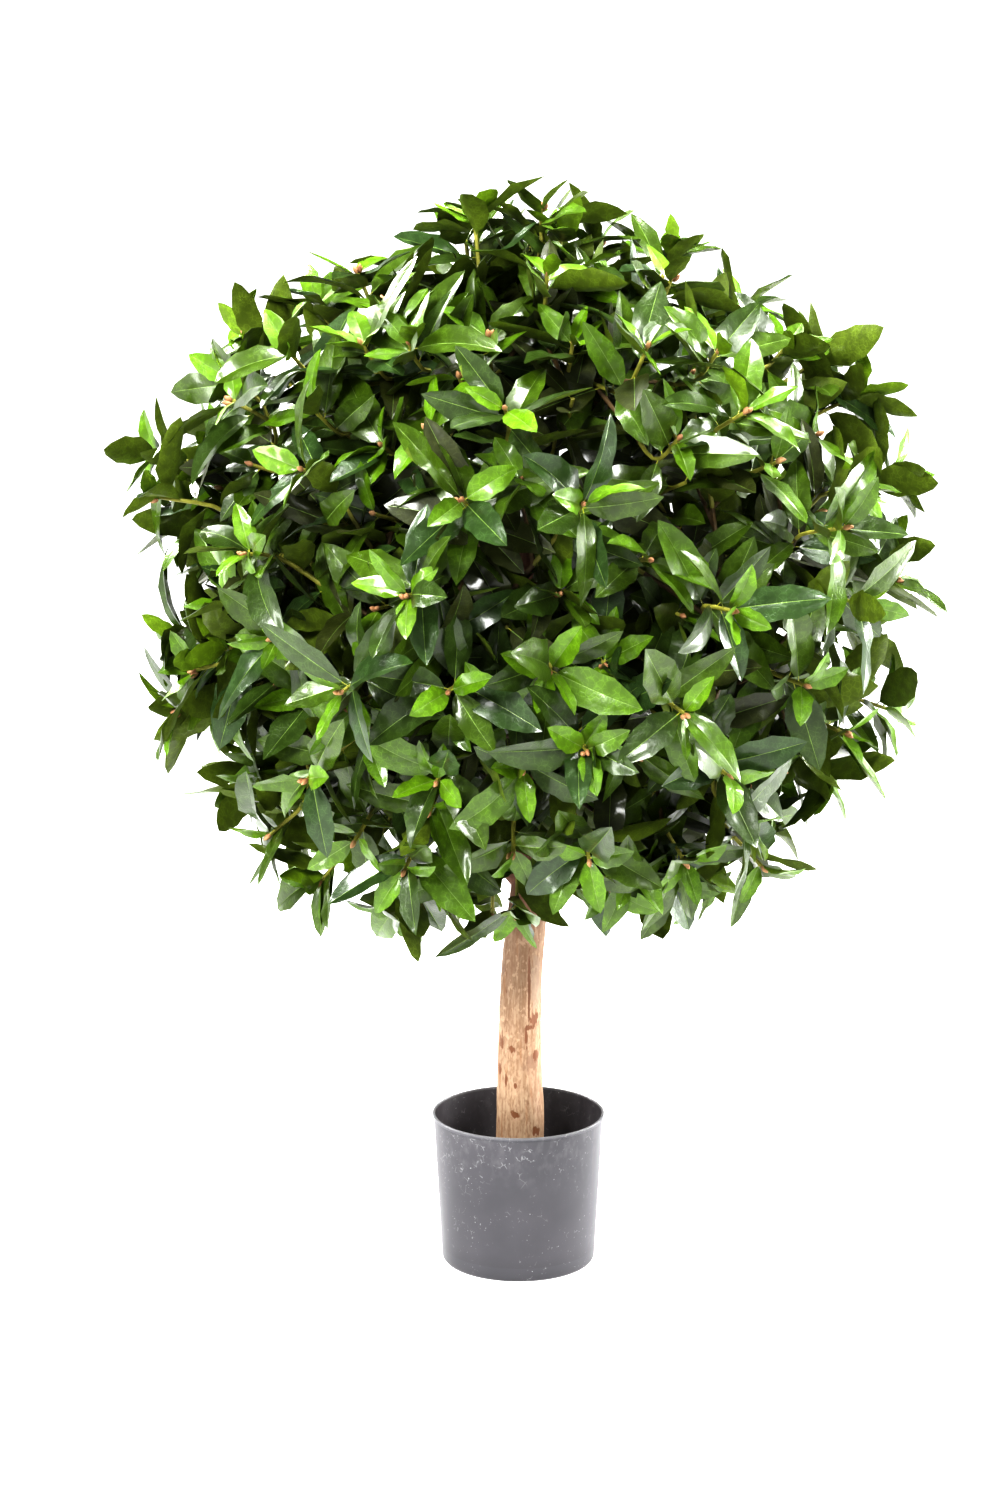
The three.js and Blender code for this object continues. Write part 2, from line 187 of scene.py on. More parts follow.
class Finish:
    def __init__(self, name, **constants):
        self.material = bpy.data.materials.new(name)
        self.material.use_nodes = True
        self.tree = self.material.node_tree
        self.paint(constants)

    def paint(self, values):
        self.feed(self.tree.nodes["Principled BSDF"], values)

    def feed(self, node, values):
        for name, value in values.items():
            socket = node.inputs[name]
            if isinstance(value, Signal):
                self.tree.links.new(value.socket, socket)
            else:
                socket.default_value = value

    def node(self, kind, settings, values, output=0):
        made = self.tree.nodes.new(kind)
        for name, value in settings.items():
            if name == "stops":
                self.set_stops(made.color_ramp, value)
            else:
                setattr(made, name, value)
        self.feed(made, values)
        return Signal(self, made.outputs[output])

    def set_stops(self, ramp, stops):
        while len(ramp.elements) < len(stops):
            ramp.elements.new(0.5)
        for element, (place, level) in zip(ramp.elements, stops):
            element.position = place
            element.color = opaque(grey(level))

    def place(self, scale):
        here = self.node("ShaderNodeTexCoord", {}, {}, "Object")
        return self.node("ShaderNodeMapping", {}, {"Vector": here, "Scale": scale})

    def noise(self, scale, detail=3.0, stretch=(1, 1, 1)):
        values = {"Vector": self.place(stretch), "Scale": scale, "Detail": detail}
        return self.node("ShaderNodeTexNoise", {}, values)

    def cells(self, scale, stretch=(1, 1, 1)):
        """How far a point is from the nearest line of a net of cells."""
        values = {"Vector": self.place(stretch), "Scale": scale}
        return self.node("ShaderNodeTexVoronoi", {"feature": "DISTANCE_TO_EDGE"}, values)

    def height(self):
        here = self.place((1, 1, 1))
        return self.node("ShaderNodeSeparateXYZ", {}, {0: here}, "Z")

    def radius(self):
        flat = self.place((1, 1, 0))
        return self.node("ShaderNodeVectorMath", {"operation": "LENGTH"}, {0: flat}, "Value")

    def blot(self, middle, size, ragged=1.25):
        """One in a spot of this size with a ragged edge round a place, and zero elsewhere."""
        here = self.node("ShaderNodeTexCoord", {}, {}, "Object")
        scale = [1 / width for width in size]
        shift = [-place / width for place, width in zip(middle, size)]
        placed = self.node("ShaderNodeMapping", {}, {"Vector": here, "Scale": scale, "Location": shift})
        far = self.node("ShaderNodeVectorMath", {"operation": "LENGTH"}, {0: placed}, "Value")
        far = far + (self.noise(*BLOT_GRAIN) - 0.5) * (2 * ragged)
        return self.ramp(far, *BLOT_EDGE)

    def ramp(self, signal, low, high):
        """Zero at low and one at high, which may be the smaller."""
        stops = sorted([(low, 0.0), (high, 1.0)])
        return self.node("ShaderNodeValToRGB", {"stops": stops}, {0: signal})

    def clamped(self, signal):
        return self.node("ShaderNodeClamp", {}, {0: signal})

    def between(self, mask, first, second):
        values = {0: mask, 6: opaque(first), 7: opaque(second)}
        return self.node("ShaderNodeMix", {"data_type": "RGBA"}, values, 2)

    def layered(self, colour, layers):
        """A colour with others laid over it, each as strongly as its mask says."""
        for mask, over in layers:
            colour = self.between(mask, colour, over)
        return colour

    def bump(self, height, strength, distance):
        values = {"Height": height, "Strength": strength, "Distance": distance}
        self.paint({"Normal": self.node("ShaderNodeBump", {}, values)})

    def cover(self, *pieces):
        for piece in pieces:
            piece.data.materials.append(self.material)
        print(self.material.name, "has", len(self.tree.nodes), "nodes")


# %% Floor finish
FLOOR_GREY = 0.35
FLOOR_CLOUD = 0.01  # how much darker it is in places
FLOOR_GLOW = 0.93

pale = Finish("pale floor", Roughness=0.9)
pale.paint({"Emission Color": opaque(grey(1.0)), "Emission Strength": FLOOR_GLOW})
cloudy = pale.between(pale.noise(0.6), grey(FLOOR_GREY), grey(FLOOR_GREY - FLOOR_CLOUD))
pale.paint({"Base Color": cloudy})
pale.cover(floor)

# %% [markdown]
# ## The rules that the solids share
#
# A plant like this is easier to describe than to draw. The numbers below are the same ones that shape
# the solids: the trunk's bends, the crown's outline and where each bough leaves. A number that looks
# random is really a sine with far too many turns, which gives the same answer on every run.

# %% Shared sizes, in metres
POT_HEIGHT = 0.155
POT_TOP_R = 0.086
POT_BASE_R = 0.0775
FILL_TOP = 0.092
FLARE = 0.0022
FLARE_RISE = 0.030
TRUNK = [  # the centreline's x, y and z, then the radius
    (0.0018, 0.0, 0.0923, 0.024),
    (0.0016, 0.0, 0.155, 0.0236),
    (0.0011, 0.0, 0.220, 0.022),
    (0.002, 0.0, 0.273, 0.0213),
    (0.005, 0.002, 0.335, 0.0204),
    (0.011, 0.003, 0.392, 0.0186),
    (0.014, 0.0, 0.470, 0.0155),
    (0.012, -0.004, 0.545, 0.013),
    (0.008, -0.002, 0.640, 0.0105),
    (0.006, 0.0, 0.742, 0.007),
]
CROWN = Vector((0.006, 0.0, 0.705))
OUTLINE = [  # how far the leaves reach in the front view, every 20 degrees from +X over the top
    0.412, 0.414, 0.407, 0.376, 0.387, 0.392, 0.380, 0.410, 0.420,
    0.400, 0.403, 0.404, 0.402, 0.384, 0.354, 0.402, 0.404, 0.417,
]
BALL_R = 0.396
WIDER = 1.03  # across than up
BOUGH_TIP_R = 0.150
BOUGH_TIP_Z = 0.622
BEND_OUT = 0.066  # the first bend of a bough, from where it leaves the trunk
BEND_UP = 0.084  # at most, and else this share of the height that is left
BEND_UP_SHARE = 0.42
KNEE_SHARE = 0.78  # of the way to its tip, where a bough bends once more
KNEE_OUT = 0.005
BOUGHS = {  # bearing from +X towards +Y, and the height where each leaves the trunk
    "left": (180, 0.386),
    "front_right": (324, 0.420),
    "back": (108, 0.452),
    "front": (252, 0.486),
    "back_right": (36, 0.518),
}
SIDE_TILT = -10  # of the way that the lower masses face, in degrees
HUB_R = 0.238  # where a mass's stem ends, from the middle of the ball
TWIGS = 72
TWIG_ELBOW_R = 0.298
TWIG_TIP_R = 0.346
TWIG_TIP_SPREAD = 0.020
TWIG_JITTER = 0.1
GOLDEN_ANGLE = math.pi * (3 - math.sqrt(5))
SEED = 7.31


# %% Chance, and smooth lines through a few points
TWIG_RADIANS = 12.9898  # what the next twig adds to the sine's turn, and the next purpose
PURPOSE_RADIANS = 78.233
SCATTER = 43758.5453  # only the digits behind the point are kept of a sine times this
TWIG_DRAW = {  # the purpose of each of a twig's own chances
    "turn": 1, "height": 2, "reach": 3, "first leaf": 4, "side": 6, "side turn": 7, "side off": 8,
    "buds": 9,
}
LINE_STEPS = 20  # between two of the given points
TRUNK_POINTS = 320


def chance(twig, purpose):
    """A number from 0 to 1 that belongs to one twig and one purpose."""
    x = math.sin(SEED + TWIG_RADIANS * twig + PURPOSE_RADIANS * purpose) * SCATTER
    return x - math.floor(x)


def within(low, high, twig, purpose):
    return low + (high - low) * chance(twig, purpose)


def smooth_line(points, count):
    """Evenly spaced points on a centripetal Catmull-Rom line through the given ones."""
    p = [Vector(q) for q in points]
    p = [p[0] * 2 - p[1]] + p + [p[-1] * 2 - p[-2]]
    path = []
    for a, b, c, d in zip(p, p[1:], p[2:], p[3:]):
        t0, t1, t2 = (math.sqrt((v - u).length) for u, v in ((a, b), (b, c), (c, d)))
        m1 = ((b - a) / t0 - (c - a) / (t0 + t1) + (c - b) / t1) * t1
        m2 = ((c - b) / t1 - (d - b) / (t1 + t2) + (d - c) / t2) * t1
        for k in range(LINE_STEPS):
            s = k / LINE_STEPS
            path.append(b + m1 * s + (3 * (c - b) - 2 * m1 - m2) * s**2 + (2 * (b - c) + m1 + m2) * s**3)
    path.append(p[-2])
    steps = np.cumsum([0.0] + [(v - u).length for u, v in zip(path, path[1:])])
    ways = np.linspace(0, steps[-1], count)
    columns = [np.interp(ways, steps, [q[axis] for q in path]) for axis in range(3)]
    return np.stack(columns, axis=1)


def trunk_radius(z):
    heights = [station[2] for station in TRUNK]
    radii = [station[3] for station in TRUNK]
    return np.interp(z, heights, radii) + FLARE * np.exp(-(z - FILL_TOP) / FLARE_RISE)


trunk_line = smooth_line([station[:3] for station in TRUNK], TRUNK_POINTS)
print("trunk line", round(float(trunk_line[0, 2]), 3), "to", round(float(trunk_line[-1, 2]), 3), "m")


# %% Where boughs, stems and twigs run
def bearing_vector(degrees):
    return Vector((math.cos(math.radians(degrees)), math.sin(math.radians(degrees)), 0.0))


def bough_points(bearing, height):
    foot = Vector(trunk_line[np.argmin(abs(trunk_line[:, 2] - height))])
    out = bearing_vector(bearing)
    tip = CROWN + out * BOUGH_TIP_R
    tip.z = BOUGH_TIP_Z
    bend = foot + out * BEND_OUT
    bend.z += min(BEND_UP, (BOUGH_TIP_Z - height) * BEND_UP_SHARE)
    knee = foot.lerp(tip, KNEE_SHARE) + out * KNEE_OUT
    return [foot, bend, knee, tip]


def reach_of(direction):
    """How far the ball reaches: its outline in the front view, and an even ball off it."""
    x, y, z = direction
    place = (math.degrees(math.atan2(z, x)) % 360) / (360 / len(OUTLINE))
    before = int(place) % len(OUTLINE)
    after = (before + 1) % len(OUTLINE)
    seen = OUTLINE[before] + (OUTLINE[after] - OUTLINE[before]) * (place - int(place))
    even = BALL_R * math.hypot(x * WIDER, y * WIDER, z)
    return even + (seen - even) * (1 - y * y) ** 2


def on_ball(direction, distance):
    return CROWN + direction * (distance * reach_of(direction) / BALL_R)


def twig_direction(twig):
    height = 1 - 2 * (twig + 0.5) / TWIGS
    turn = twig * GOLDEN_ANGLE + (chance(twig, TWIG_DRAW["turn"]) - 0.5) * 2 * TWIG_JITTER
    polar = math.acos(height) + (chance(twig, TWIG_DRAW["height"]) - 0.5) * 2 * TWIG_JITTER
    round_z = Vector((math.cos(turn), math.sin(turn), 0.0))
    return round_z * math.sin(polar) + Vector((0.0, 0.0, math.cos(polar)))


def side_facing(bearing):
    tilt = math.radians(SIDE_TILT)
    return bearing_vector(bearing) * math.cos(tilt) + Vector((0, 0, math.sin(tilt)))


MASSES = {"top": (Vector((0, 0, 1)), Vector(trunk_line[-1]))}  # where each faces, and its limb's end
for name, (bearing, height) in BOUGHS.items():
    MASSES[name] = (side_facing(bearing), bough_points(bearing, height)[-1])


def mass_of(direction):
    return max(MASSES, key=lambda name: MASSES[name][0].dot(direction))


print("masses", list(MASSES))

# %% [markdown]
# ## Modelling by hand, in code
#
# Blender's operators act on whatever is selected and active, so each piece starts by letting go of
# everything else. When a piece is done it rides on the plant's one body and stands for its solid.

# %% Small modelling helpers
UP, DOWN = 1, -1
LEVEL = 0.9  # a face counts as level when its normal is at least this upright
SMOOTH_ANGLE = 40  # edges that turn more than this stay sharp, in degrees


def work_on(piece):
    bpy.ops.object.select_all(action="DESELECT")
    piece.select_set(True)
    bpy.context.view_layer.objects.active = piece


def apply_modifier(piece, kind, **settings):
    work_on(piece)
    modifier = piece.modifiers.new(kind.title(), kind)
    for name, value in settings.items():
        setattr(modifier, name, value)
    bpy.ops.object.modifier_apply(modifier=modifier.name)


def select_faces(piece, way):
    """Leave only the faces that point up or down selected, in edit mode."""
    work_on(piece)
    bpy.ops.object.mode_set(mode="EDIT")
    bpy.ops.mesh.select_mode(type="FACE")
    bpy.ops.mesh.select_all(action="DESELECT")
    bpy.ops.object.mode_set(mode="OBJECT")
    for face in piece.data.polygons:
        face.select = face.normal.z * way > LEVEL
    bpy.ops.object.mode_set(mode="EDIT")


def mesh_piece(name, points, faces, materials, slots):
    """A piece from arrays, for what repeats thousands of times."""
    mesh = bpy.data.meshes.new(name)
    mesh.from_pydata(points, [], faces)
    for material in materials:
        mesh.materials.append(material)
    mesh.polygons.foreach_set("material_index", slots)
    piece = bpy.data.objects.new(name, mesh)
    bpy.context.collection.objects.link(piece)
    return piece


def finish_piece(piece, nodes, angle=SMOOTH_ANGLE):
    work_on(piece)
    bpy.ops.object.shade_smooth_by_angle(angle=math.radians(angle))
    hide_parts(*nodes)
    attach(piece, "root")
    print(piece.name, len(piece.data.polygons), "faces")


# %% [markdown]
# ## The nursery pot
#
# The real pot is blow-moulded plastic barely more than a millimetre thick, so its walls are dead
# straight, its rim is a sharp little bead and its bottom edge is softly rounded. It could be a lathe,
# but pulling one ring of edges up the outside, over the rim and down the inside shows best how a thin
# wall closes on itself.

# %% The pot's outline
POT_WALL = 0.0014
POT_CORNER = 0.005
CORNER_RINGS = 7
WALL_FROM = 0.012  # height of the straight wall's first ring
WALL_RINGS = 9
LIP_DEPTH = 0.004
LIP_OUT = 0.0012
RIM_ROUND = 0.0006
INNER_ROUND = 0.0004
INSIDE_FROM = 0.008  # how far under the rim the inner wall's first ring is
INSIDE_TO = 0.007  # and the height of its last one
INSIDE_RINGS = 10
POT_FLOOR = 0.003
FLOOR_IN = 0.006  # how far in from the wall's outside the floor begins


def pot_wall_r(z):
    return POT_BASE_R + (POT_TOP_R - POT_BASE_R) * z / POT_HEIGHT


def pot_profile():
    corner_r = pot_wall_r(POT_CORNER) - POT_CORNER
    corner = [
        (corner_r + POT_CORNER * math.sin(a), POT_CORNER * (1 - math.cos(a)))
        for a in np.linspace(0, math.pi / 2, CORNER_RINGS)
    ]
    under_lip = POT_HEIGHT - LIP_DEPTH
    walls = [(pot_wall_r(z), z) for z in np.linspace(WALL_FROM, under_lip, WALL_RINGS)]
    top, inner_top = POT_TOP_R + LIP_OUT, POT_TOP_R - POT_WALL
    rim = [
        (pot_wall_r(under_lip) + LIP_OUT * 0.8, under_lip + RIM_ROUND),
        (top, POT_HEIGHT - LIP_DEPTH * 0.6),
        (top, POT_HEIGHT - RIM_ROUND),
        (top - RIM_ROUND, POT_HEIGHT),
        (inner_top + INNER_ROUND, POT_HEIGHT),
        (inner_top, POT_HEIGHT - INNER_ROUND),
    ]
    heights = np.linspace(POT_HEIGHT - INSIDE_FROM, INSIDE_TO, INSIDE_RINGS)
    inside = [(pot_wall_r(z) - POT_WALL, z) for z in heights]
    return corner + walls + rim + inside + [(pot_wall_r(POT_FLOOR) - FLOOR_IN, POT_FLOOR)]


# %% Pull the pot up, ring by ring
POT_SIDES = 128
STANDING_RING = 0.010  # the width of the underside that touches the ground
UNDERSIDE_RISE = 0.0015  # and how far the rest of it is above that

profile = pot_profile()
bpy.ops.object.select_all(action="DESELECT")
bpy.ops.mesh.primitive_circle_add(vertices=POT_SIDES, radius=profile[0][0])
pot = bpy.context.object
pot.name = "nursery_pot"
bpy.ops.object.mode_set(mode="EDIT")
bpy.ops.mesh.select_all(action="SELECT")
bpy.ops.mesh.edge_face_add()
bpy.ops.mesh.inset(thickness=STANDING_RING)
bpy.ops.transform.translate(value=(0, 0, UNDERSIDE_RISE))
bpy.ops.mesh.select_all(action="DESELECT")
bpy.ops.mesh.select_mode(type="EDGE")
bpy.ops.mesh.select_non_manifold()
for (was_r, was_z), (r, z) in zip(profile, profile[1:]):
    bpy.ops.mesh.extrude_edges_move(TRANSFORM_OT_translate={"value": (0, 0, z - was_z)})
    bpy.ops.transform.resize(value=(r / was_r, r / was_r, 1), center_override=(0, 0, z))
bpy.ops.mesh.edge_face_add()
bpy.ops.mesh.select_all(action="SELECT")
bpy.ops.mesh.normals_make_consistent(inside=False)
bpy.ops.object.mode_set(mode="OBJECT")
finish_piece(pot, ["pot"])

# %% [markdown]
# ### Scuffed black plastic
#
# Black nursery plastic is really a dark neutral grey with a skin of fine dust. Towards the foot the
# plastic is painted darker, as painted shade where the pot meets the floor. The inside has no dust and is
# painted a darker brownish grey, as painted shade within the pot. Handling leaves pale specks, short
# scratches, smudges under the rim and a lighter line along it. They could be painted, but they are small
# and have no fixed place, so they are noise: high peaks of a fine noise give specks, and pieces of the
# lines between cells give scratches.

# %% Pot plastic
HANDLED = (0.118, 0.158)  # heights between which the marks of hands come in
FOOT_SHADE_HEIGHTS = (0.026, 0.003)  # and between which the painted shade at the foot comes in
RIM_WORN = (POT_HEIGHT - 0.0016, POT_HEIGHT - 0.0008)
ALL_OUTSIDE = (0.0125, 0.0115)  # and under which every face counts as the outside
WALL_STEP = 0.0002  # either side of the wall's middle, where the inside's colour takes over
CLEAN_PLASTIC = (0.061, 0.060, 0.068)
DUSTY_PLASTIC = (0.086, 0.083, 0.093)
# painted shade: the colour at the foot, darker than clean plastic
FOOT_SHADE_PLASTIC = (0.036, 0.034, 0.036)
# painted shade: the colour of the inside, darker than clean plastic
INSIDE_SHADE_PLASTIC = (0.034, 0.0275, 0.027)
RIM_GREY = 0.32
SCUFF_GREY = 0.36

plastic = Finish("scuffed pot plastic", IOR=1.46)
specks = plastic.ramp(plastic.noise(400, 3.0), 0.68, 0.72)
patches = plastic.ramp(plastic.noise(24, 2.0), 0.44, 0.62)
broken = plastic.ramp(plastic.noise(100, 5.0), 0.58, 0.66)
hairlines = plastic.ramp(plastic.cells(120), 0.06, 0.01) * broken
smudges = plastic.ramp(plastic.noise(140, 8.0, (1, 1, 0.6)), 0.48, 0.70)
dust = plastic.ramp(plastic.noise(12, 4.0), 0.35, 0.7)
pot_height = plastic.height()
handled = plastic.ramp(pot_height + plastic.noise(30) * 0.05, *HANDLED)
lean = (POT_TOP_R - POT_BASE_R) / POT_HEIGHT
shell = plastic.radius() - pot_height * lean
middle_r = POT_BASE_R - POT_WALL / 2
outer_wall = plastic.ramp(shell, middle_r - WALL_STEP, middle_r + WALL_STEP)
outside = plastic.clamped(outer_wall + plastic.ramp(pot_height, *ALL_OUTSIDE))
by_hands = handled * (hairlines * 0.6 + specks * 0.5 + smudges * 0.16)
scuffs = ((specks * 1.6 + hairlines * 0.5) * patches + by_hands) * (outside * 0.8 + 0.2)
dusted = plastic.between(dust, CLEAN_PLASTIC, DUSTY_PLASTIC)
# painted shade: the outside darkens towards the foot
outer_with_foot_shade = plastic.between(plastic.ramp(pot_height, *FOOT_SHADE_HEIGHTS) * 0.45, dusted, FOOT_SHADE_PLASTIC)
# painted shade: the inside gets its own darker colour
plain = plastic.between(outside, INSIDE_SHADE_PLASTIC, outer_with_foot_shade)
plastic.paint({"Base Color": plastic.layered(plain, [
    (plastic.ramp(pot_height, *RIM_WORN) * 0.5, grey(RIM_GREY)),
    (scuffs * 0.6, grey(SCUFF_GREY)),
])})
plastic.paint({"Roughness": 0.32 + dust * 0.12 + scuffs * 0.3})
plastic.bump(plastic.noise(35, 3.0) + scuffs * 0.2, 0.15, 0.0006)
plastic.cover(pot)

# %% [markdown]
# ## The cement in the pot
#
# It is poured, so it is level, with a slightly lumpy skin. A cylinder whose foot is drawn in fits the
# pot's taper. Insetting its top face again and again gives the skin rings of small faces, and a
# Displace modifier that is held to them makes them rough. The finish is dark, with paler dry patches and
# a few grains of sand, and a bump adds the finest grains.

# %% Cement
CEMENT_SIDES = 96
DRAWN_IN = 0.0035  # how much narrower than the pot its foot is
SKIN_RINGS = 11
SKIN_RING_WIDTH = 0.0062
SKIN_DEPTH = 0.001
LUMP_WIDTH = 0.007
LUMP_HEIGHT = 0.0016
LUMP_LEVEL = 0.75  # the grey of the clouds that leaves the skin where it is

low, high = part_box("cement")
cement_r = high.x
bpy.ops.object.select_all(action="DESELECT")
bpy.ops.mesh.primitive_cylinder_add(
    vertices=CEMENT_SIDES, radius=cement_r, depth=high.z - low.z, location=(0, 0, (low.z + high.z) / 2)
)
cement = bpy.context.object
cement.name = "cement_fill"
bpy.ops.object.transform_apply()
select_faces(cement, DOWN)
taper = (POT_BASE_R - DRAWN_IN) / cement_r
bpy.ops.transform.resize(value=(taper, taper, 1), center_override=(0, 0, 0))
bpy.ops.object.mode_set(mode="OBJECT")
select_faces(cement, UP)
for _ in range(SKIN_RINGS):
    bpy.ops.mesh.inset(thickness=SKIN_RING_WIDTH)
bpy.ops.object.mode_set(mode="OBJECT")
lumps = bpy.data.textures.new("cement lumps", "CLOUDS")
lumps.noise_scale = LUMP_WIDTH
group = cement.vertex_groups.new(name="skin")
skin = [v.index for v in cement.data.vertices if v.co.z > high.z - SKIN_DEPTH]
group.add(skin, 1.0, "REPLACE")
apply_modifier(
    cement, "DISPLACE", texture=lumps, strength=LUMP_HEIGHT, mid_level=LUMP_LEVEL, vertex_group="skin"
)
finish_piece(cement, ["cement"])

# %% Cement finish
DAMP_CEMENT = (0.05, 0.041, 0.034)
DRY_CEMENT = (0.10, 0.085, 0.07)
SAND_GREY = 0.16

mortar = Finish("dark set cement", Roughness=0.95)
grains = mortar.noise(420, 3.0)
dry = mortar.ramp(mortar.noise(30, 3.0), 0.35, 0.7)
set_cement = mortar.between(dry, DAMP_CEMENT, DRY_CEMENT)
sandy = mortar.between(mortar.ramp(grains, 0.55, 0.7), set_cement, grey(SAND_GREY))
mortar.paint({"Base Color": sandy})
mortar.bump(grains, 0.6, 0.001)
mortar.cover(cement)

# %% [markdown]
# ## Trunk and boughs
#
# The trunk is a real pole with its bark mostly rubbed off: long shallow furrows, a few knots, and
# reddish bark left on the limbs inside the ball. A curve with a width would give a smooth hose, so a
# ring of twelve edges is pulled up the line instead, resized and turned square to it at each step, and
# then subdivided. To make furrows that run along the wood from ordinary cloud noise, the pole is
# squashed to a seventh of its height, displaced, and pulled back to length. The boughs slant, so they
# are squashed less.

# %% A limb, ring by ring
LIMB_SIDES = 12
ROUNDING = (2 + math.cos(2 * math.pi / LIMB_SIDES)) / 3  # how far subdivision draws a ring in
END_STEP = 0.0004  # two rings this close keep the sawn ends flat
TURN_SIGN = -1  # with no window, the operator turns the other way
LEAST_TURN = 1e-4


def next_ring(was, here, growth, turn):
    """Pull the selected end from one point to the next, and size and turn it there."""
    bpy.ops.mesh.extrude_region_move(TRANSFORM_OT_translate={"value": here - was})
    bpy.ops.transform.resize(value=[growth] * 3, center_override=here)
    if turn.angle > LEAST_TURN:
        bpy.ops.transform.rotate(
            value=TURN_SIGN * turn.angle, orient_axis="Z", orient_type="GLOBAL",
            orient_matrix=turn.axis.to_track_quat("Z", "Y").to_matrix(),
            orient_matrix_type="GLOBAL", center_override=here,
        )


def limb(name, line, radii, levels):
    ways = np.gradient(line, axis=0)
    ways = [Vector(way).normalized() for way in ways]
    line = [Vector(point) for point in line]
    line = [line[0], line[0] + ways[0] * END_STEP, *line[1:-1], line[-1] - ways[-1] * END_STEP, line[-1]]
    ways = [ways[0], *ways, ways[-1]]
    radii = [radii[0], *radii, radii[-1]]
    upright = Vector((0, 0, 1)).rotation_difference(ways[0]).to_euler()
    bpy.ops.object.select_all(action="DESELECT")
    bpy.ops.mesh.primitive_circle_add(
        vertices=LIMB_SIDES, radius=radii[0] / ROUNDING, fill_type="NGON",
        location=line[0], rotation=upright,
    )
    piece = bpy.context.object
    piece.name = name
    bpy.ops.object.transform_apply()
    bpy.ops.object.mode_set(mode="EDIT")
    bpy.ops.mesh.select_all(action="SELECT")
    for n in range(1, len(line)):
        turn = ways[n - 1].rotation_difference(ways[n])
        next_ring(line[n - 1], line[n], radii[n] / radii[n - 1], turn)
    bpy.ops.mesh.select_all(action="SELECT")
    bpy.ops.mesh.normals_make_consistent(inside=False)
    bpy.ops.object.mode_set(mode="OBJECT")
    apply_modifier(piece, "SUBSURF", levels=levels, render_levels=levels)
    return piece


# %% Furrows along a limb
FURROWS = ((0.016, 1.0), (0.006, 0.7), (0.0025, 0.3))  # the size and share of each kind


def stretch_height(piece, share):
    work_on(piece)
    bpy.ops.object.mode_set(mode="EDIT")
    bpy.ops.mesh.select_all(action="SELECT")
    bpy.ops.transform.resize(value=(1, 1, share), center_override=(0, 0, 0))
    bpy.ops.object.mode_set(mode="OBJECT")


def furrow(piece, depth, squash):
    """Furrows along a limb: three sizes of clouds on it while it is squashed."""
    stretch_height(piece, squash)
    for width, share in FURROWS:
        ridges = bpy.data.textures.new("furrows", "CLOUDS")
        ridges.noise_scale = width
        apply_modifier(piece, "DISPLACE", texture=ridges, strength=depth * share, mid_level=0.5)
    stretch_height(piece, 1 / squash)


# %% The trunk
TRUNK_RINGS = 40
TRUNK_FURROW = 0.0022
TRUNK_SQUASH = 0.14

trunk_rings = smooth_line([station[:3] for station in TRUNK], TRUNK_RINGS)
trunk = limb("trunk_wood", trunk_rings, trunk_radius(trunk_rings[:, 2]), levels=3)
furrow(trunk, TRUNK_FURROW, TRUNK_SQUASH)
finish_piece(trunk, ["trunk"])

# %% The boughs
BOUGH_RINGS = 14
BOUGH_FOOT_R = 0.0103
BOUGH_END_R = 0.006
BOUGH_FURROW = 0.0014
BOUGH_SQUASH = 0.5

boughs = []
for name, (bearing, height) in BOUGHS.items():
    line = smooth_line(bough_points(bearing, height), BOUGH_RINGS)
    piece = limb(name + "_bough", line, np.linspace(BOUGH_FOOT_R, BOUGH_END_R, BOUGH_RINGS), levels=2)
    furrow(piece, BOUGH_FURROW, BOUGH_SQUASH)
    finish_piece(piece, ["bough_" + name])
    boughs.append(piece)

# %% [markdown]
# ### Bare wood and bark
#
# The pole's colour runs along the grain: pale tan, with rusty streaks where the inner bark is left,
# small dark knots and pale flecks. A noise stretched along the grain makes long streaks, a list of
# blots with ragged edges puts the larger scars where they are, and a mask by height lets the reddish
# bark take over inside the ball, where nobody has rubbed it off.

# %% Where the wood changes, and its marks
BARK_FROM = (0.365, 0.39)  # heights between which the bark takes over
UPPER_SHADE = (0.2, 0.4)  # and between which the wood darkens, as painted shade under the crown
FLECKED_FROM = (0.235, 0.285)  # and between which, with some noise added, the flecks come in fully
WOOD_CRACK = ((0.0104, -0.019, 0.292), (0.0016, 0.010, 0.042))
WOOD_PEELED = ((0.0172, -0.013, 0.295), (0.0058, 0.012, 0.034))
WOOD_BRUISE = ((0.0127, -0.018, 0.212), (0.0095, 0.012, 0.0085))
WOOD_SCARS = [  # as those above, middle and size of marks on the side that faces the front
    ((-0.0025, -0.0235, 0.159), (0.0048, 0.010, 0.0040)),
    ((0.0165, -0.0150, 0.258), (0.0055, 0.010, 0.0080)),
    ((0.0110, -0.0190, 0.249), (0.0060, 0.010, 0.0030)),
    ((0.0076, -0.0200, 0.238), (0.0014, 0.010, 0.0120)),
    ((-0.0172, -0.0140, 0.233), (0.0024, 0.010, 0.0090)),
    ((-0.0065, -0.0200, 0.227), (0.0030, 0.010, 0.0045)),
    ((0.0177, -0.0150, 0.219), (0.0035, 0.010, 0.0060)),
    ((-0.0187, -0.0120, 0.203), (0.0015, 0.010, 0.0060)),
    ((-0.0126, -0.0180, 0.194), (0.0013, 0.010, 0.0080)),
    ((-0.0035, -0.0220, 0.189), (0.0018, 0.010, 0.0030)),
    ((0.0177, -0.0160, 0.140), (0.0040, 0.010, 0.0055)),
    ((-0.0126, -0.0180, 0.286), (0.0014, 0.010, 0.0045)),
]

print(len(WOOD_SCARS) + 3, "marks on the wood")

# %% Wood finish
PALE_WOOD = (0.415, 0.309, 0.210)
WEATHERED_WOOD = (0.310, 0.217, 0.142)
DARK_BARK = (0.11, 0.045, 0.025)
RED_BARK = (0.27, 0.13, 0.08)

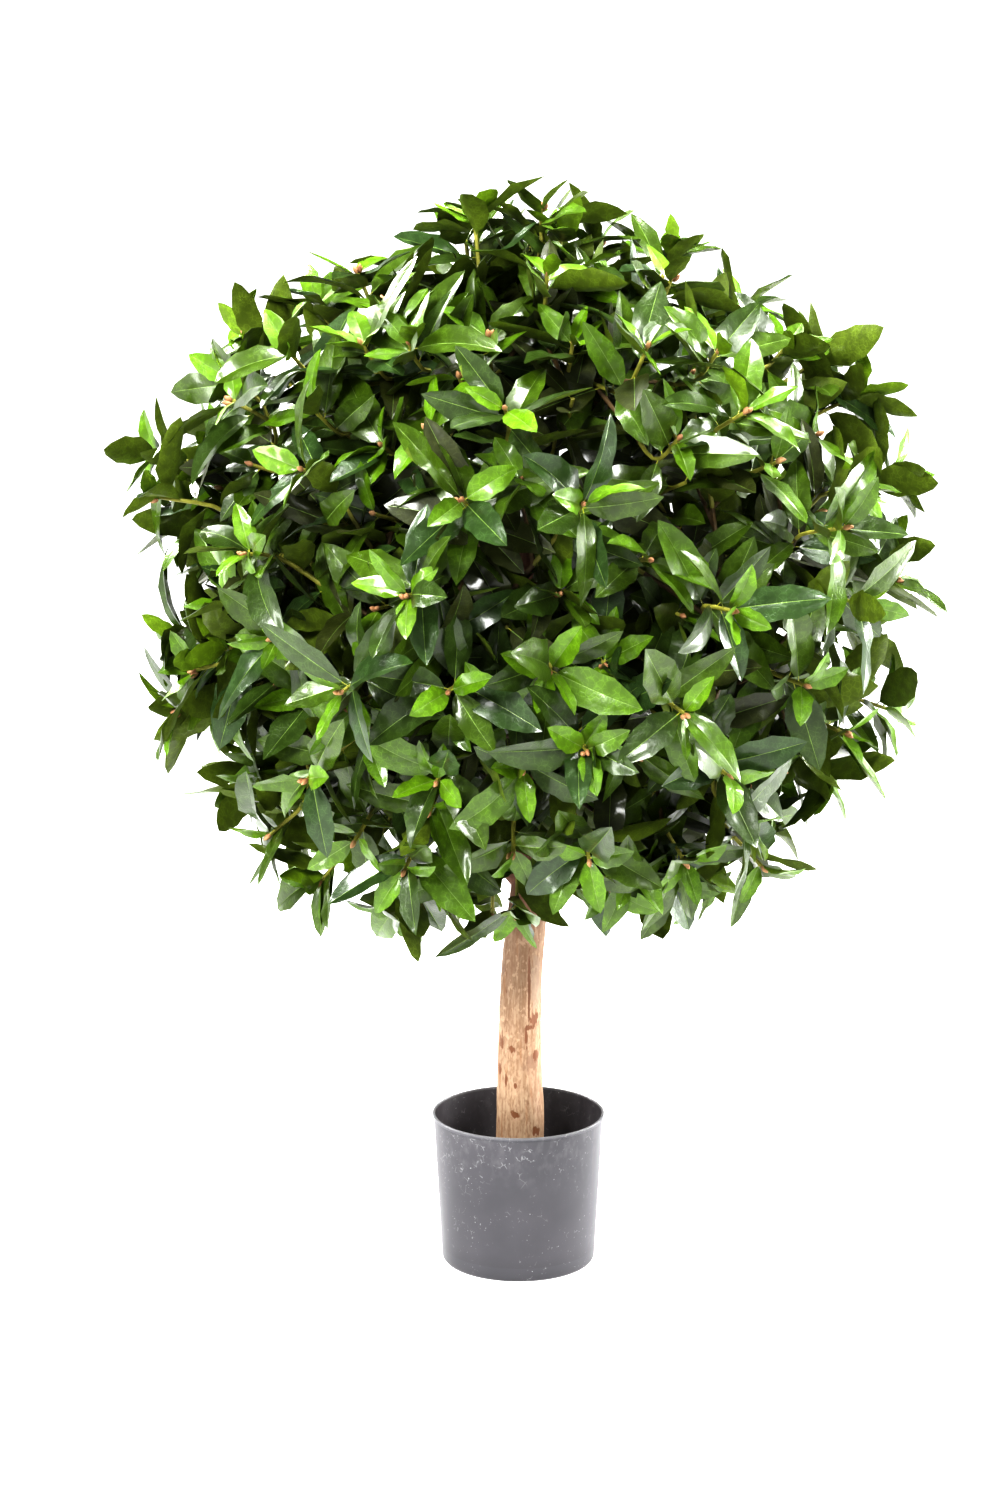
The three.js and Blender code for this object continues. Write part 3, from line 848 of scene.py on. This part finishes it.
wood = Finish("rubbed wood", IOR=1.45)
fibre = wood.noise(420, 5.0, (1, 1, 0.09))
coarse = wood.ramp(wood.noise(150, 4.0, (1, 1, 0.08)), 0.42, 0.66)
streaks = wood.ramp(wood.noise(110, 4.0, (1, 1, 0.12)), 0.60, 0.70)
knots = wood.ramp(wood.noise(95, 4.0, (1, 1, 0.4)), 0.64, 0.72)
upper_half = wood.ramp(wood.height() + wood.noise(45) * 0.05, *FLECKED_FROM)
flecks = wood.ramp(wood.noise(200, 4.0, (1, 1, 0.7)), 0.57, 0.66) * (0.35 + upper_half * 0.65)
weather = wood.ramp(wood.noise(34, 4.0, (1, 1, 0.45)), 0.36, 0.66)
mottle = wood.ramp(wood.noise(380, 5.0, (1, 1, 0.4)), 0.46, 0.62)
scars = wood.blot(*WOOD_CRACK, 0.8)
for middle, size in WOOD_SCARS:
    scars = scars + wood.blot(middle, size)
ragged = wood.height() + (wood.noise(40, 3.0, (1, 1, 0.4)) - 0.5) * 0.06
bark_left = wood.ramp(ragged, *BARK_FROM)
tan_wood = wood.between(weather, PALE_WOOD, WEATHERED_WOOD)
rubbed = wood.layered(tan_wood, [
    (mottle * 0.58, (0.21, 0.120, 0.066)),
    (coarse * 0.4, (0.24, 0.135, 0.076)),
    (wood.ramp(fibre, 0.46, 0.60) * 0.5, (0.22, 0.125, 0.064)),
    (flecks * 0.6, (0.52, 0.39, 0.27)),
    (streaks * 0.55, (0.27, 0.12, 0.045)),
    (knots * 0.5, (0.17, 0.08, 0.042)),
    (wood.blot(*WOOD_PEELED, 0.6) * 0.6, (0.30, 0.23, 0.17)),
    (wood.blot(*WOOD_BRUISE) * 0.65, (0.20, 0.115, 0.070)),
    (wood.clamped(scars) * 0.9, (0.15, 0.052, 0.016)),
    # painted shade: the wood is darker upwards, under the crown
    (wood.ramp(wood.height(), *UPPER_SHADE) * 0.4, (0.22, 0.12, 0.07)),
])
bark = wood.between(fibre, DARK_BARK, RED_BARK)
wood.paint({"Base Color": wood.between(bark_left, rubbed, bark)})
wood.paint({"Roughness": 0.5 + fibre * 0.2 + streaks * 0.1})
hollows = coarse * 0.4 + streaks * 0.5 + knots * 0.4 + scars * 0.6
wood.bump(fibre * 0.6 + flecks * 0.4 - hollows, 0.5, 0.0008)
wood.cover(trunk, *boughs)

# %% [markdown]
# ## One leaf
#
# A bay leaf is a lens-shaped blade with a pale rib, a short stalk and a finely toothed edge. On the
# artificial plant it is printed cloth, stiffened, so it holds a gentle bend, a fold at the rib and a
# little twist. A leaf could be cut from a plane by hand, but thousands of them are needed, so one grid
# of points serves for all: six columns from edge to edge, with the two middle ones so close together
# that the strip between them is the rib. Every other row of the edge stands out a little, for teeth.
# The underside takes half the rows. Formulas bend the grid for all leaves at once, which is what
# arrays are good at.

# %% The leaf's grid
ROWS = [  # share of the length, and half width as a share of the widest
    (0.00, 0.050), (0.08, 0.065), (0.15, 0.47), (0.25, 0.83), (0.37, 1.00),
    (0.50, 1.00), (0.63, 0.93), (0.76, 0.76), (0.89, 0.43),
]
RIB_COLUMN = 0.055
COLUMNS = (-1.0, -0.52, -RIB_COLUMN, RIB_COLUMN, 0.52, 1.0)
BULGE = (0.0, 1.0, 0.0, 0.0, 1.0, 0.0)
RIB_TAPER = 0.6  # how much narrower the rib is at the tip
NARROW = 0.1  # the rib and the stalk are narrower than this share of the half width
NOTCH = 0.05  # how far the edge steps in and out, for its teeth
STALK_ROWS = 1


def leaf_grid():
    """Along, across and bulge of each point of the grid, and the faces with what they show."""
    points = []
    for number, (along, half) in enumerate(ROWS):
        tooth = 1 + NOTCH * (-1) ** number
        for column, bulge in zip(COLUMNS, BULGE):
            on_rib = abs(column) < NARROW
            across = column * (1 - RIB_TAPER * along) if on_rib else column * half * tooth
            points.append((along, across, bulge * half))
    tip = len(points)
    points.append((1.0, 0.0, 0.0))
    wide = len(COLUMNS)
    rib_strip = COLUMNS.index(-RIB_COLUMN)
    faces, shows = [], []
    for row in range(len(ROWS)):
        last = row == len(ROWS) - 1
        for column in range(wide - 1):
            a, b = row * wide + column, row * wide + column + 1
            faces.append((a, b, tip) if last else (a, b, b + wide, a + wide))
            shows.append("stalk" if row < STALK_ROWS else "rib" if column == rib_strip else "upper")
    keel = {}  # the middle line of the underside, marked by a bulge of -1
    for row in range(0, len(ROWS), 2):
        keel[row] = len(points)
        points.append((ROWS[row][0], 0.0, -1.0))
    for row in range(0, len(ROWS), 2):
        middle, left, right = keel[row], row * wide, row * wide + wide - 1
        if row + 2 in keel:
            next_middle = keel[row + 2]
            faces.append((middle, next_middle, left + 2 * wide, left + wide, left))
            faces.append((right, right + wide, right + 2 * wide, next_middle, middle))
        else:
            faces.append((middle, tip, left))
            faces.append((right, tip, middle))
        shows.extend(["under", "under"])
    faces.append((*range(wide - 1, -1, -1), keel[0]))
    shows.append("stalk")
    return np.array(points), faces, shows


LEAF_POINTS, LEAF_FACES, LEAF_SHOWS = leaf_grid()
print("one leaf has", len(LEAF_POINTS), "points and", len(LEAF_FACES), "faces")


# %% Bend the grid into many leaves
RIB_HALF = 0.0005
LEAF_THICK = 0.0005
SWELL = 0.16  # of each half of the blade, as a share of its width
EDGE_WAVES = 11  # radians of wave from stalk to tip
EDGES_APART = 1.7  # radians by which the two edges are out of step
STRAIGHT = 1e-3


def bent_leaves(size):
    """Points of every leaf at its own origin, from arrays of the leaves' sizes."""
    along, across, bulge = LEAF_POINTS.T
    length, width, bend, fold, twist, wave, phase = (
        size[name][:, None] for name in ("length", "width", "bend", "fold", "twist", "wave", "phase")
    )
    narrow = (abs(across) < NARROW) & (bulge == 0.0)
    x = np.where(narrow, across * RIB_HALF / RIB_COLUMN, across * width / 2)
    swell = SWELL * np.maximum(bulge, 0.0) * width / 2
    ripple = np.sin(along * EDGE_WAVES + phase + np.sign(across) * EDGES_APART)
    edge = ripple * wave * abs(across) * width / 2
    h = abs(x) * np.tan(fold) + swell + edge - (bulge < 0) * LEAF_THICK
    angle = bend * along
    safe = np.where(abs(bend) < STRAIGHT, STRAIGHT, bend)
    middle_y = length * np.sin(safe * along) / safe
    middle_z = -length * (1 - np.cos(safe * along)) / safe
    roll = twist * along
    side = x * np.cos(roll) - h * np.sin(roll)
    lift = x * np.sin(roll) + h * np.cos(roll)
    return np.stack([side, middle_y + lift * np.sin(angle), middle_z + lift * np.cos(angle)], axis=2)


# %% [markdown]
# ## Leaf colours
#
# Printed leaves come in a handful of greens: blue-green, deep and dark greens for the old ones, a mid
# green, and lime and fresh greens for the young tips. The dull shade green is no print but painted shade:
# it goes on leaves deep inside, so that the inside of the ball is dark. Undersides are paler and duller,
# ribs a light green and stalks nearly yellow. One picture for all leaves would need unwrapping, so each
# leaf gets one green as a whole, and noise makes the print a little uneven. A net of cells shows here and
# there as the fine veins, and the same net breaks up the sheen.

# %% Leaf finishes
GREENS = {  # upper side: colour and roughness
    # shade is painted shade: a dull, nearly black green for the leaves deep inside the ball
    "shade": ((0.020, 0.026, 0.001), 0.45),
    "blue": ((0.023, 0.047, 0.010), 0.26),
    "deep": ((0.024, 0.045, 0.005), 0.27),
    "dark": ((0.036, 0.066, 0.002), 0.29),
    "mid": ((0.052, 0.101, 0.002), 0.32),
    "lime": ((0.066, 0.133, 0.001), 0.36),
    "fresh": ((0.078, 0.153, 0.001), 0.38),
}
DULL_PARTS = {
    "old_under": (0.075, 0.108, 0.006),
    "fresh_under": (0.11, 0.18, 0.004),
    "rib": (0.11, 0.17, 0.035),
    "stalk": (0.27, 0.28, 0.03),
}
LEAF_COAT = 0.4
COAT_ROUGHNESS = 0.12
LEAF_SHINE = 0.35
DULL = 0.5  # their roughness
NET_SCALE = 190  # of the fine veins between the side veins
PALER = (1.5, 0.002)  # times and plus, where the print is paler
VEINED = (2.0, 0.008)  # and along the veins


def lighter(colour, times, plus):
    return [min(1.0, level * times + plus) for level in colour]


def leaf_finish(name, colour, roughness):
    finish = Finish("leaf " + name, IOR=1.5)
    finish.paint({"Coat Weight": LEAF_COAT, "Coat Roughness": COAT_ROUGHNESS})
    finish.paint({"Specular IOR Level": LEAF_SHINE})
    print_mottle = finish.noise(90, 3.0)
    net = finish.ramp(finish.cells(NET_SCALE), 0.10, 0.02) * finish.ramp(print_mottle, 0.38, 0.60)
    tone = finish.layered(colour, [
        (finish.ramp(print_mottle, 0.4, 0.7), lighter(colour, *PALER)),
        (net * 0.55, lighter(colour, *VEINED)),
    ])
    finish.paint({"Base Color": tone, "Roughness": roughness + print_mottle * 0.12})
    finish.bump(finish.noise(260, 2.0) - net * 0.3, 0.45, 0.0006)
    return finish.material


leaf_materials = {name: leaf_finish(name, *look) for name, look in GREENS.items()}
for name, colour in DULL_PARTS.items():
    leaf_materials[name] = leaf_finish(name, colour, DULL)
LEAF_SLOTS = list(leaf_materials)
print("leaves are painted in", LEAF_SLOTS)

# %% [markdown]
# ## Sprays
#
# A spray is the end of a twig: a bud or two, a few young leaves that stand up round them, a ring of full
# leaves opened wide, and older ones further back that darken the inside, some of them in the shade green,
# which is painted shade. Each new leaf turns by the golden angle from the last, as real leaves do, so that
# none hides the next. Every twig of the solids is carried on here to four sprays: its own, a full one
# beside it, one of shade leaves that fills the inside, mostly in the painted shade green, and a short one.
# A few long shoots make the outline lively. A leaf that would reach past the outline grows shorter or not
# at all, and so does one beside the bare trunk.

# %% Leaf kinds on a spray
# how many at least and at most, their length, how far back from the twig's end the first one sits and
# how much further the next, how wide they open in degrees, and their greens
# the shade green among the tones is painted shade, for the leaves at the back and inside
KINDS = [
    (2, 4, 0.052, 0.002, 0.002, (26, 70), ("fresh", "lime", "fresh", "mid")),
    (4, 5, 0.088, 0.007, 0.006, (36, 80), ("blue", "deep", "dark", "deep", "dark", "mid")),
    (5, 6, 0.083, 0.038, 0.013, (46, 92), ("blue", "deep", "dark", "shade", "dark", "mid")),
    (4, 5, 0.082, 0.110, 0.018, (50, 100), ("shade", "dark")),
]
SHORT = [
    (1, 2, 0.056, 0.002, 0.003, (28, 70), ("lime", "mid")),
    (4, 5, 0.076, 0.009, 0.008, (42, 90), ("deep", "dark", "mid")),
]
# painted shade: the inner sprays are mostly the shade green
INNER = [(6, 8, 0.086, 0.002, 0.014, (40, 105), ("shade", "shade", "dark"))]
LEAF_WIDTH = 0.36  # of its length
YOUNG = 0.064  # a leaf shorter than this is young
YOUNG_WIDER = 0.002
SHORTEST_LEAF = 0.04
LEAF_OVER = 0.010  # how far a leaf may reach past the outline
HOLLOW = 0.5  # how much deeper the leaves leave the dips of the outline
WOOD_CLEAR = 0.012  # no leaf is nearer to the trunk
BARE_MORE = 0.045  # further off than that, at the height where the ball begins
BARE_Z = 0.42
BARE_RISE = 0.07
UPWARD = 0.2  # how far the sprays turn up
SWAY = 0.36  # and to any side
TO_LIGHT = 0.22  # how far the blades turn their upper sides up


def leaf_axes(along, turn, opening, roll):
    """Across, forward and upper side of a leaf that opens from a twig and leans to the light."""
    aside = Vector((0, 0, 1)).cross(along).normalized()
    outward = Matrix.Rotation(turn, 3, along) @ aside
    forward = along * math.cos(opening) + outward * math.sin(opening)
    upper = along * math.sin(opening) - outward * math.cos(opening) + Vector((0, 0, TO_LIGHT))
    upper = (upper - forward * upper.dot(forward)).normalized()
    upper = Matrix.Rotation(roll, 3, forward) @ upper
    return Matrix((forward.cross(upper), forward, upper)).transposed()


def too_far(point, over):
    out = point - CROWN
    reach = reach_of(out.normalized())
    return out.length > reach - HOLLOW * max(0.0, BALL_R - reach) + over


def near_trunk(point):
    """True beside the trunk, where the plant is bare, and more widely so where the ball begins."""
    if point.z > TRUNK[-1][2]:
        return False
    place = np.argmin(abs(trunk_line[:, 2] - point.z))
    aside = Vector(trunk_line[place]) - point
    bare = WOOD_CLEAR + BARE_MORE * math.exp(-(((point.z - BARE_Z) / BARE_RISE) ** 2))
    return math.hypot(aside.x, aside.y) < trunk_radius(point.z) + bare


# %% Grow the leaves of one spray
BARE_FOOT = 0.02  # of each twig
TURN_OFF = 0.45  # how far a leaf may be off the golden angle, in radians
ROLL_OFF = 0.8  # and how far its blade may roll
LENGTHS = (0.80, 1.16)  # least and most, as shares of the usual length
NEARLY_HALF = 0.49  # taken off the least and added to the most, it makes all counts about as likely
SHORTER = 0.9  # at each try, until the leaf stays inside the outline
DRAW = {  # the purpose of each of a leaf's chances, to which the leaf's number is added
    "opening": 10, "turn": 30, "length": 50, "tone": 70, "width": 90, "bend": 110, "fold": 130,
    "twist": 150, "wave": 170, "phase": 190, "lean": 200, "count": 210, "roll": 230,
}


def spray_leaves(line, kinds, key, over):
    """Leaves round the end of a line of points; key makes its chances its own."""
    way = [Vector(p) for p in line]
    lengths = np.cumsum([0.0] + [(b - a).length for a, b in zip(way, way[1:])])
    start = chance(key, TWIG_DRAW["first leaf"]) * 2 * math.pi
    sway = Vector([within(-SWAY, SWAY, key, DRAW["lean"] + axis) for axis in range(3)])
    lean = sway + Vector((0, 0, UPWARD))
    leaves = []
    number = 0
    for least, most, usual, back, next_back, opens, tones in kinds:
        ends = least - NEARLY_HALF, most + NEARLY_HALF
        for n in range(round(within(*ends, key, DRAW["count"] + number))):
            number += 1
            here = max(BARE_FOOT, lengths[-1] - back - next_back * n)
            step = min(int(np.searchsorted(lengths, here)), len(way) - 1)
            share = (here - lengths[step - 1]) / (lengths[step] - lengths[step - 1])
            foot = way[step - 1].lerp(way[step], share)
            along = ((way[step] - way[step - 1]).normalized() + lean).normalized()
            opening = math.radians(within(*opens, key, DRAW["opening"] + number))
            turn = start + number * GOLDEN_ANGLE + within(-TURN_OFF, TURN_OFF, key, DRAW["turn"] + number)
            roll = within(-ROLL_OFF, ROLL_OFF, key, DRAW["roll"] + number)
            axes = leaf_axes(along, turn, opening, roll)
            length = usual * within(*LENGTHS, key, DRAW["length"] + number)
            tip = foot + axes.col[1] * length
            while too_far(tip, over) and length > SHORTEST_LEAF:
                length *= SHORTER
                tip = foot + axes.col[1] * length
            if too_far(tip, over) or near_trunk(tip) or near_trunk((foot + tip) / 2):
                continue
            tone = tones[int(chance(key, DRAW["tone"] + number) * len(tones))]
            leaves.append((foot, axes, length, tone, key, number))
    return leaves


# %% Side twigs and long shoots
# share up the twig, turn off it in radians, how far past the usual end its tip is at least and at most,
# and its leaves
SIDE_SPRAYS = [
    (0.45, 0.24, (-0.070, 0.020), KINDS),
    (0.25, 0.16, (-0.110, -0.060), INNER),
    (0.55, 0.20, (-0.070, -0.015), SHORT),
]
LONG_SHOOTS = [  # turn from +X over the top and towards the back, in degrees, and the tip's distance
    (339, 5, 0.390), (300, 8, 0.380), (236, -6, 0.362), (219, 10, 0.368),
    (200, -8, 0.364), (162, 4, 0.386), (143, 14, 0.358), (98, -4, 0.356),
    (36, 6, 0.360), (2, 9, 0.362),
]
SHOOT_OVER = 0.018  # how far the leaves of a long shoot may reach past the outline
SIDE_KEY = 100  # the first key of the side sprays, and of the long shoots
SHOOT_KEY = 500
SIDE_ELBOW = 0.045  # how far before its end a side twig has its elbow, and a long shoot
SHOOT_ELBOW = 0.080
SIDE_TURN = 2.2  # from one side twig to the next, in radians
SIDE_TURN_OFF = 0.5
SIDE_OFF = (0.8, 1.2)  # least and most, as shares of the turn off the twig

print(len(SIDE_SPRAYS), "side twigs on each of", TWIGS, "twigs, and", len(LONG_SHOOTS), "long shoots")

# %% Grow the twigs
TWIG_R, SIDE_TWIG_R, SHOOT_R = 0.0030, 0.0024, 0.0028  # at the foot
FOOT_SHARE = 0.55  # up a mass's stem, where the twigs on its flanks leave it
MIDDLE_SHARE = 0.6  # of the way to its elbow, where a twig has its middle point
TWIG_STEPS = 14
STEM_STEPS = 8

stems = {}
sprays = {name: [] for name in MASSES}
for name, (facing, limb_tip) in MASSES.items():
    hub = on_ball(facing, HUB_R)
    stems[name] = smooth_line([limb_tip, limb_tip.lerp(hub, 0.5), hub], STEM_STEPS)
for twig in range(TWIGS):
    direction = twig_direction(twig)
    name = mass_of(direction)
    facing, limb_tip = MASSES[name]
    hub = on_ball(facing, HUB_R)
    foot = limb_tip.lerp(hub, FOOT_SHARE + (1 - FOOT_SHARE) * facing.dot(direction))
    tip = on_ball(direction, TWIG_TIP_R + (chance(twig, TWIG_DRAW["reach"]) - 0.5) * 2 * TWIG_TIP_SPREAD)
    elbow = on_ball(direction, TWIG_ELBOW_R)
    main = smooth_line([foot, foot.lerp(elbow, MIDDLE_SHARE), elbow, tip], TWIG_STEPS)
    sprays[name].append((main, TWIG_R, KINDS, twig))
    across = direction.orthogonal().normalized()
    for side, (share, off, depth, kinds) in enumerate(SIDE_SPRAYS):
        key = SIDE_KEY + twig + TWIGS * side
        turn = chance(twig, TWIG_DRAW["side"]) * 2 * math.pi + side * SIDE_TURN
        turn += within(-SIDE_TURN_OFF, SIDE_TURN_OFF, key, TWIG_DRAW["side turn"])
        axis = Matrix.Rotation(turn, 3, direction) @ across
        aside = Matrix.Rotation(off * within(*SIDE_OFF, key, TWIG_DRAW["side off"]), 3, axis) @ direction
        start = Vector(main[int(share * TWIG_STEPS)])
        reach = TWIG_TIP_R + within(*depth, key, TWIG_DRAW["reach"])
        bend = on_ball(aside, reach - SIDE_ELBOW)
        line = smooth_line([start, start.lerp(bend, MIDDLE_SHARE), bend, on_ball(aside, reach)], TWIG_STEPS)
        sprays[name].append((line, SIDE_TWIG_R, kinds, key))
for number, (up, back, reach) in enumerate(LONG_SHOOTS):
    direction = Matrix.Rotation(math.radians(-up), 3, "Y") @ bearing_vector(back)
    name = mass_of(direction)
    facing, limb_tip = MASSES[name]
    hub = on_ball(facing, HUB_R)
    elbow = CROWN + direction * (reach - SHOOT_ELBOW)
    line = smooth_line([hub, hub.lerp(elbow, MIDDLE_SHARE), elbow, CROWN + direction * reach], TWIG_STEPS)
    sprays[name].append((line, SHOOT_R, KINDS, SHOOT_KEY + number))
print({name: len(several) for name, several in sprays.items()}, "sprays")


# %% Join the leaves of a mass
SPREADS = {  # least and most of what differs from leaf to leaf: shares, and angles in radians
    "width": (0.88, 1.12), "bend": (-0.1, 0.85), "fold": (0.0, 0.42), "twist": (-0.6, 0.6),
    "wave": (0.03, 0.18), "phase": (0, 6.28),
}
LEAF_ANGLE = 60  # as SMOOTH_ANGLE


def leaf_piece(name, leaves):
    feet, axes, lengths, tones, keys, numbers = zip(*leaves)

    def spread(purpose):
        ends = SPREADS[purpose]
        return np.array([within(*ends, key, DRAW[purpose] + number) for key, number in zip(keys, numbers)])

    size = {purpose: spread(purpose) for purpose in SPREADS}
    size["length"] = length = np.array(lengths)
    size["width"] = length * LEAF_WIDTH * size["width"] + YOUNG_WIDER * (length < YOUNG)
    local = bent_leaves(size)
    turns = np.array([[list(row) for row in turn] for turn in axes])
    points = np.einsum("nij,nkj->nki", turns, local) + np.array([list(foot) for foot in feet])[:, None, :]
    starts = range(0, len(leaves) * len(LEAF_POINTS), len(LEAF_POINTS))
    faces = [tuple(v + start for v in face) for start in starts for face in LEAF_FACES]
    slots = []
    for tone in tones:
        under = "fresh_under" if tone in ("fresh", "lime") else "old_under"
        looks = {"upper": tone, "under": under, "rib": "rib", "stalk": "stalk"}
        slots.extend(LEAF_SLOTS.index(looks[shown]) for shown in LEAF_SHOWS)
    return mesh_piece(name, points.reshape(-1, 3), faces, leaf_materials.values(), slots)


leaf_count = 0
for mass in MASSES:
    leaves = []
    for line, _, kinds, key in sprays[mass]:
        leaves += spray_leaves(line, kinds, key, SHOOT_OVER if key >= SHOOT_KEY else LEAF_OVER)
    leaf_count += len(leaves)
    piece = leaf_piece(mass + "_leaves", leaves)
    finish_piece(piece, ["foliage_" + mass], LEAF_ANGLE)
print(leaf_count, "leaves in all")

# %% [markdown]
# ## Twigs and buds
#
# The twigs are plastic-coated wire, brown for the half that is nearer to the wood and yellow-green at
# their ends. A curve with a width for each would make far too many faces, and six sides are enough for
# something a few millimetres thick, so the tubes come from arrays. The buds are small pinkish ovals,
# one or two to a spray and none on the shade sprays, made by the same tube with a short line.

# %% Tubes along lines
TWIG_SIDES = 6
TWIG_END_R = 0.0019
STEM_SHARE = 0.94  # of a bough's end radius, where a mass's stem goes on from it, and where it ends
STEM_END_SHARE = 0.8
BROWN_SHARE = 0.55  # of a twig, from its foot
TWIG_ANGLE = 60  # as SMOOTH_ANGLE


def tube(line, radii, green_from=math.inf):
    """Points, faces and slots of a closed tube along a line, green from one of its rings on."""
    ways = np.gradient(line, axis=0)
    ways /= np.linalg.norm(ways, axis=1)[:, None]
    aside = np.cross(ways, Vector(ways[0]).orthogonal().normalized())
    aside /= np.linalg.norm(aside, axis=1)[:, None]
    other = np.cross(ways, aside)
    turns = np.arange(TWIG_SIDES) * 2 * math.pi / TWIG_SIDES
    cos, sin = np.cos(turns)[None, :, None], np.sin(turns)[None, :, None]
    ring = cos * aside[:, None, :] + sin * other[:, None, :]
    points = (line[:, None, :] + ring * np.array(radii)[:, None, None]).reshape(-1, 3)
    faces, slots = [], []
    for row in range(len(line) - 1):
        for n in range(TWIG_SIDES):
            a, b = row * TWIG_SIDES + n, row * TWIG_SIDES + (n + 1) % TWIG_SIDES
            faces.append((a, b, b + TWIG_SIDES, a + TWIG_SIDES))
            slots.append(int(row >= green_from))
    last = (len(line) - 1) * TWIG_SIDES
    faces += [tuple(range(TWIG_SIDES - 1, -1, -1)), tuple(range(last, last + TWIG_SIDES))]
    return points, faces, slots + [0, slots[-1]]


def joined_piece(name, parts, materials):
    """One piece from many (points, faces, slots)."""
    points = np.concatenate([part[0] for part in parts])
    faces, slots, start = [], [], 0
    for part_points, part_faces, part_slots in parts:
        faces.extend(tuple(v + start for v in face) for face in part_faces)
        slots.extend(part_slots)
        start += len(part_points)
    return mesh_piece(name, points, faces, materials, slots)


# %% Twig finishes and pieces
def twig_finish(name, colour, darker):
    finish = Finish(name, Roughness=0.6)
    mottle = finish.ramp(finish.noise(120, 3.0), 0.35, 0.65)
    finish.paint({"Base Color": finish.between(mottle, colour, darker)})
    finish.bump(finish.noise(400, 2.0), 0.3, 0.0004)
    return finish.material


brown_twig = twig_finish("brown twig", (0.13, 0.080, 0.026), (0.06, 0.036, 0.012))
green_twig = twig_finish("green twig", (0.28, 0.27, 0.045), (0.17, 0.17, 0.022))
bud_skin = twig_finish("bud", (0.46, 0.27, 0.14), (0.30, 0.15, 0.07))

for mass in MASSES:
    stem_radii = np.linspace(BOUGH_END_R * STEM_SHARE, BOUGH_END_R * STEM_END_SHARE, STEM_STEPS)
    parts = [tube(stems[mass], stem_radii)]
    for line, foot_r, _, _ in sprays[mass]:
        radii = np.linspace(foot_r, TWIG_END_R, TWIG_STEPS)
        parts.append(tube(line, radii, int(TWIG_STEPS * BROWN_SHARE)))
    piece = joined_piece(mass + "_twigs", parts, [brown_twig, green_twig])
    finish_piece(piece, ["foliage_" + mass], TWIG_ANGLE)


# %% Buds
BUD_LENGTH = 0.0100
BUD_R = 0.0027
BUD_SUNK = 0.001
BUD_APART = 0.0035
BUD_LEAN = 0.5
BUD_ANGLE = 80  # as SMOOTH_ANGLE
BUD_ROWS = ((0.0, 0.45), (0.25, 0.9), (0.5, 1.0), (0.75, 0.7), (0.95, 0.22))


def bud(foot, way):
    line = np.array([foot + way * (BUD_LENGTH * along) for along, _ in BUD_ROWS])
    return tube(line, [BUD_R * wide for _, wide in BUD_ROWS])


parts = []
for line, _, kinds, key in sum(sprays.values(), []):
    end = Vector(line[-1])
    way = (end - Vector(line[-2])).normalized()
    side = way.orthogonal().normalized()
    how_many = 0 if kinds is INNER else 1 + int(chance(key, TWIG_DRAW["buds"]) * 2)
    for n in range(how_many):
        lean = Matrix.Rotation(BUD_LEAN * n, 3, side)
        parts.append(bud(end - way * BUD_SUNK + side * (BUD_APART * n), lean @ way))
buds = joined_piece("buds", parts, [bud_skin])
finish_piece(buds, ["foliage_" + mass for mass in MASSES], BUD_ANGLE)
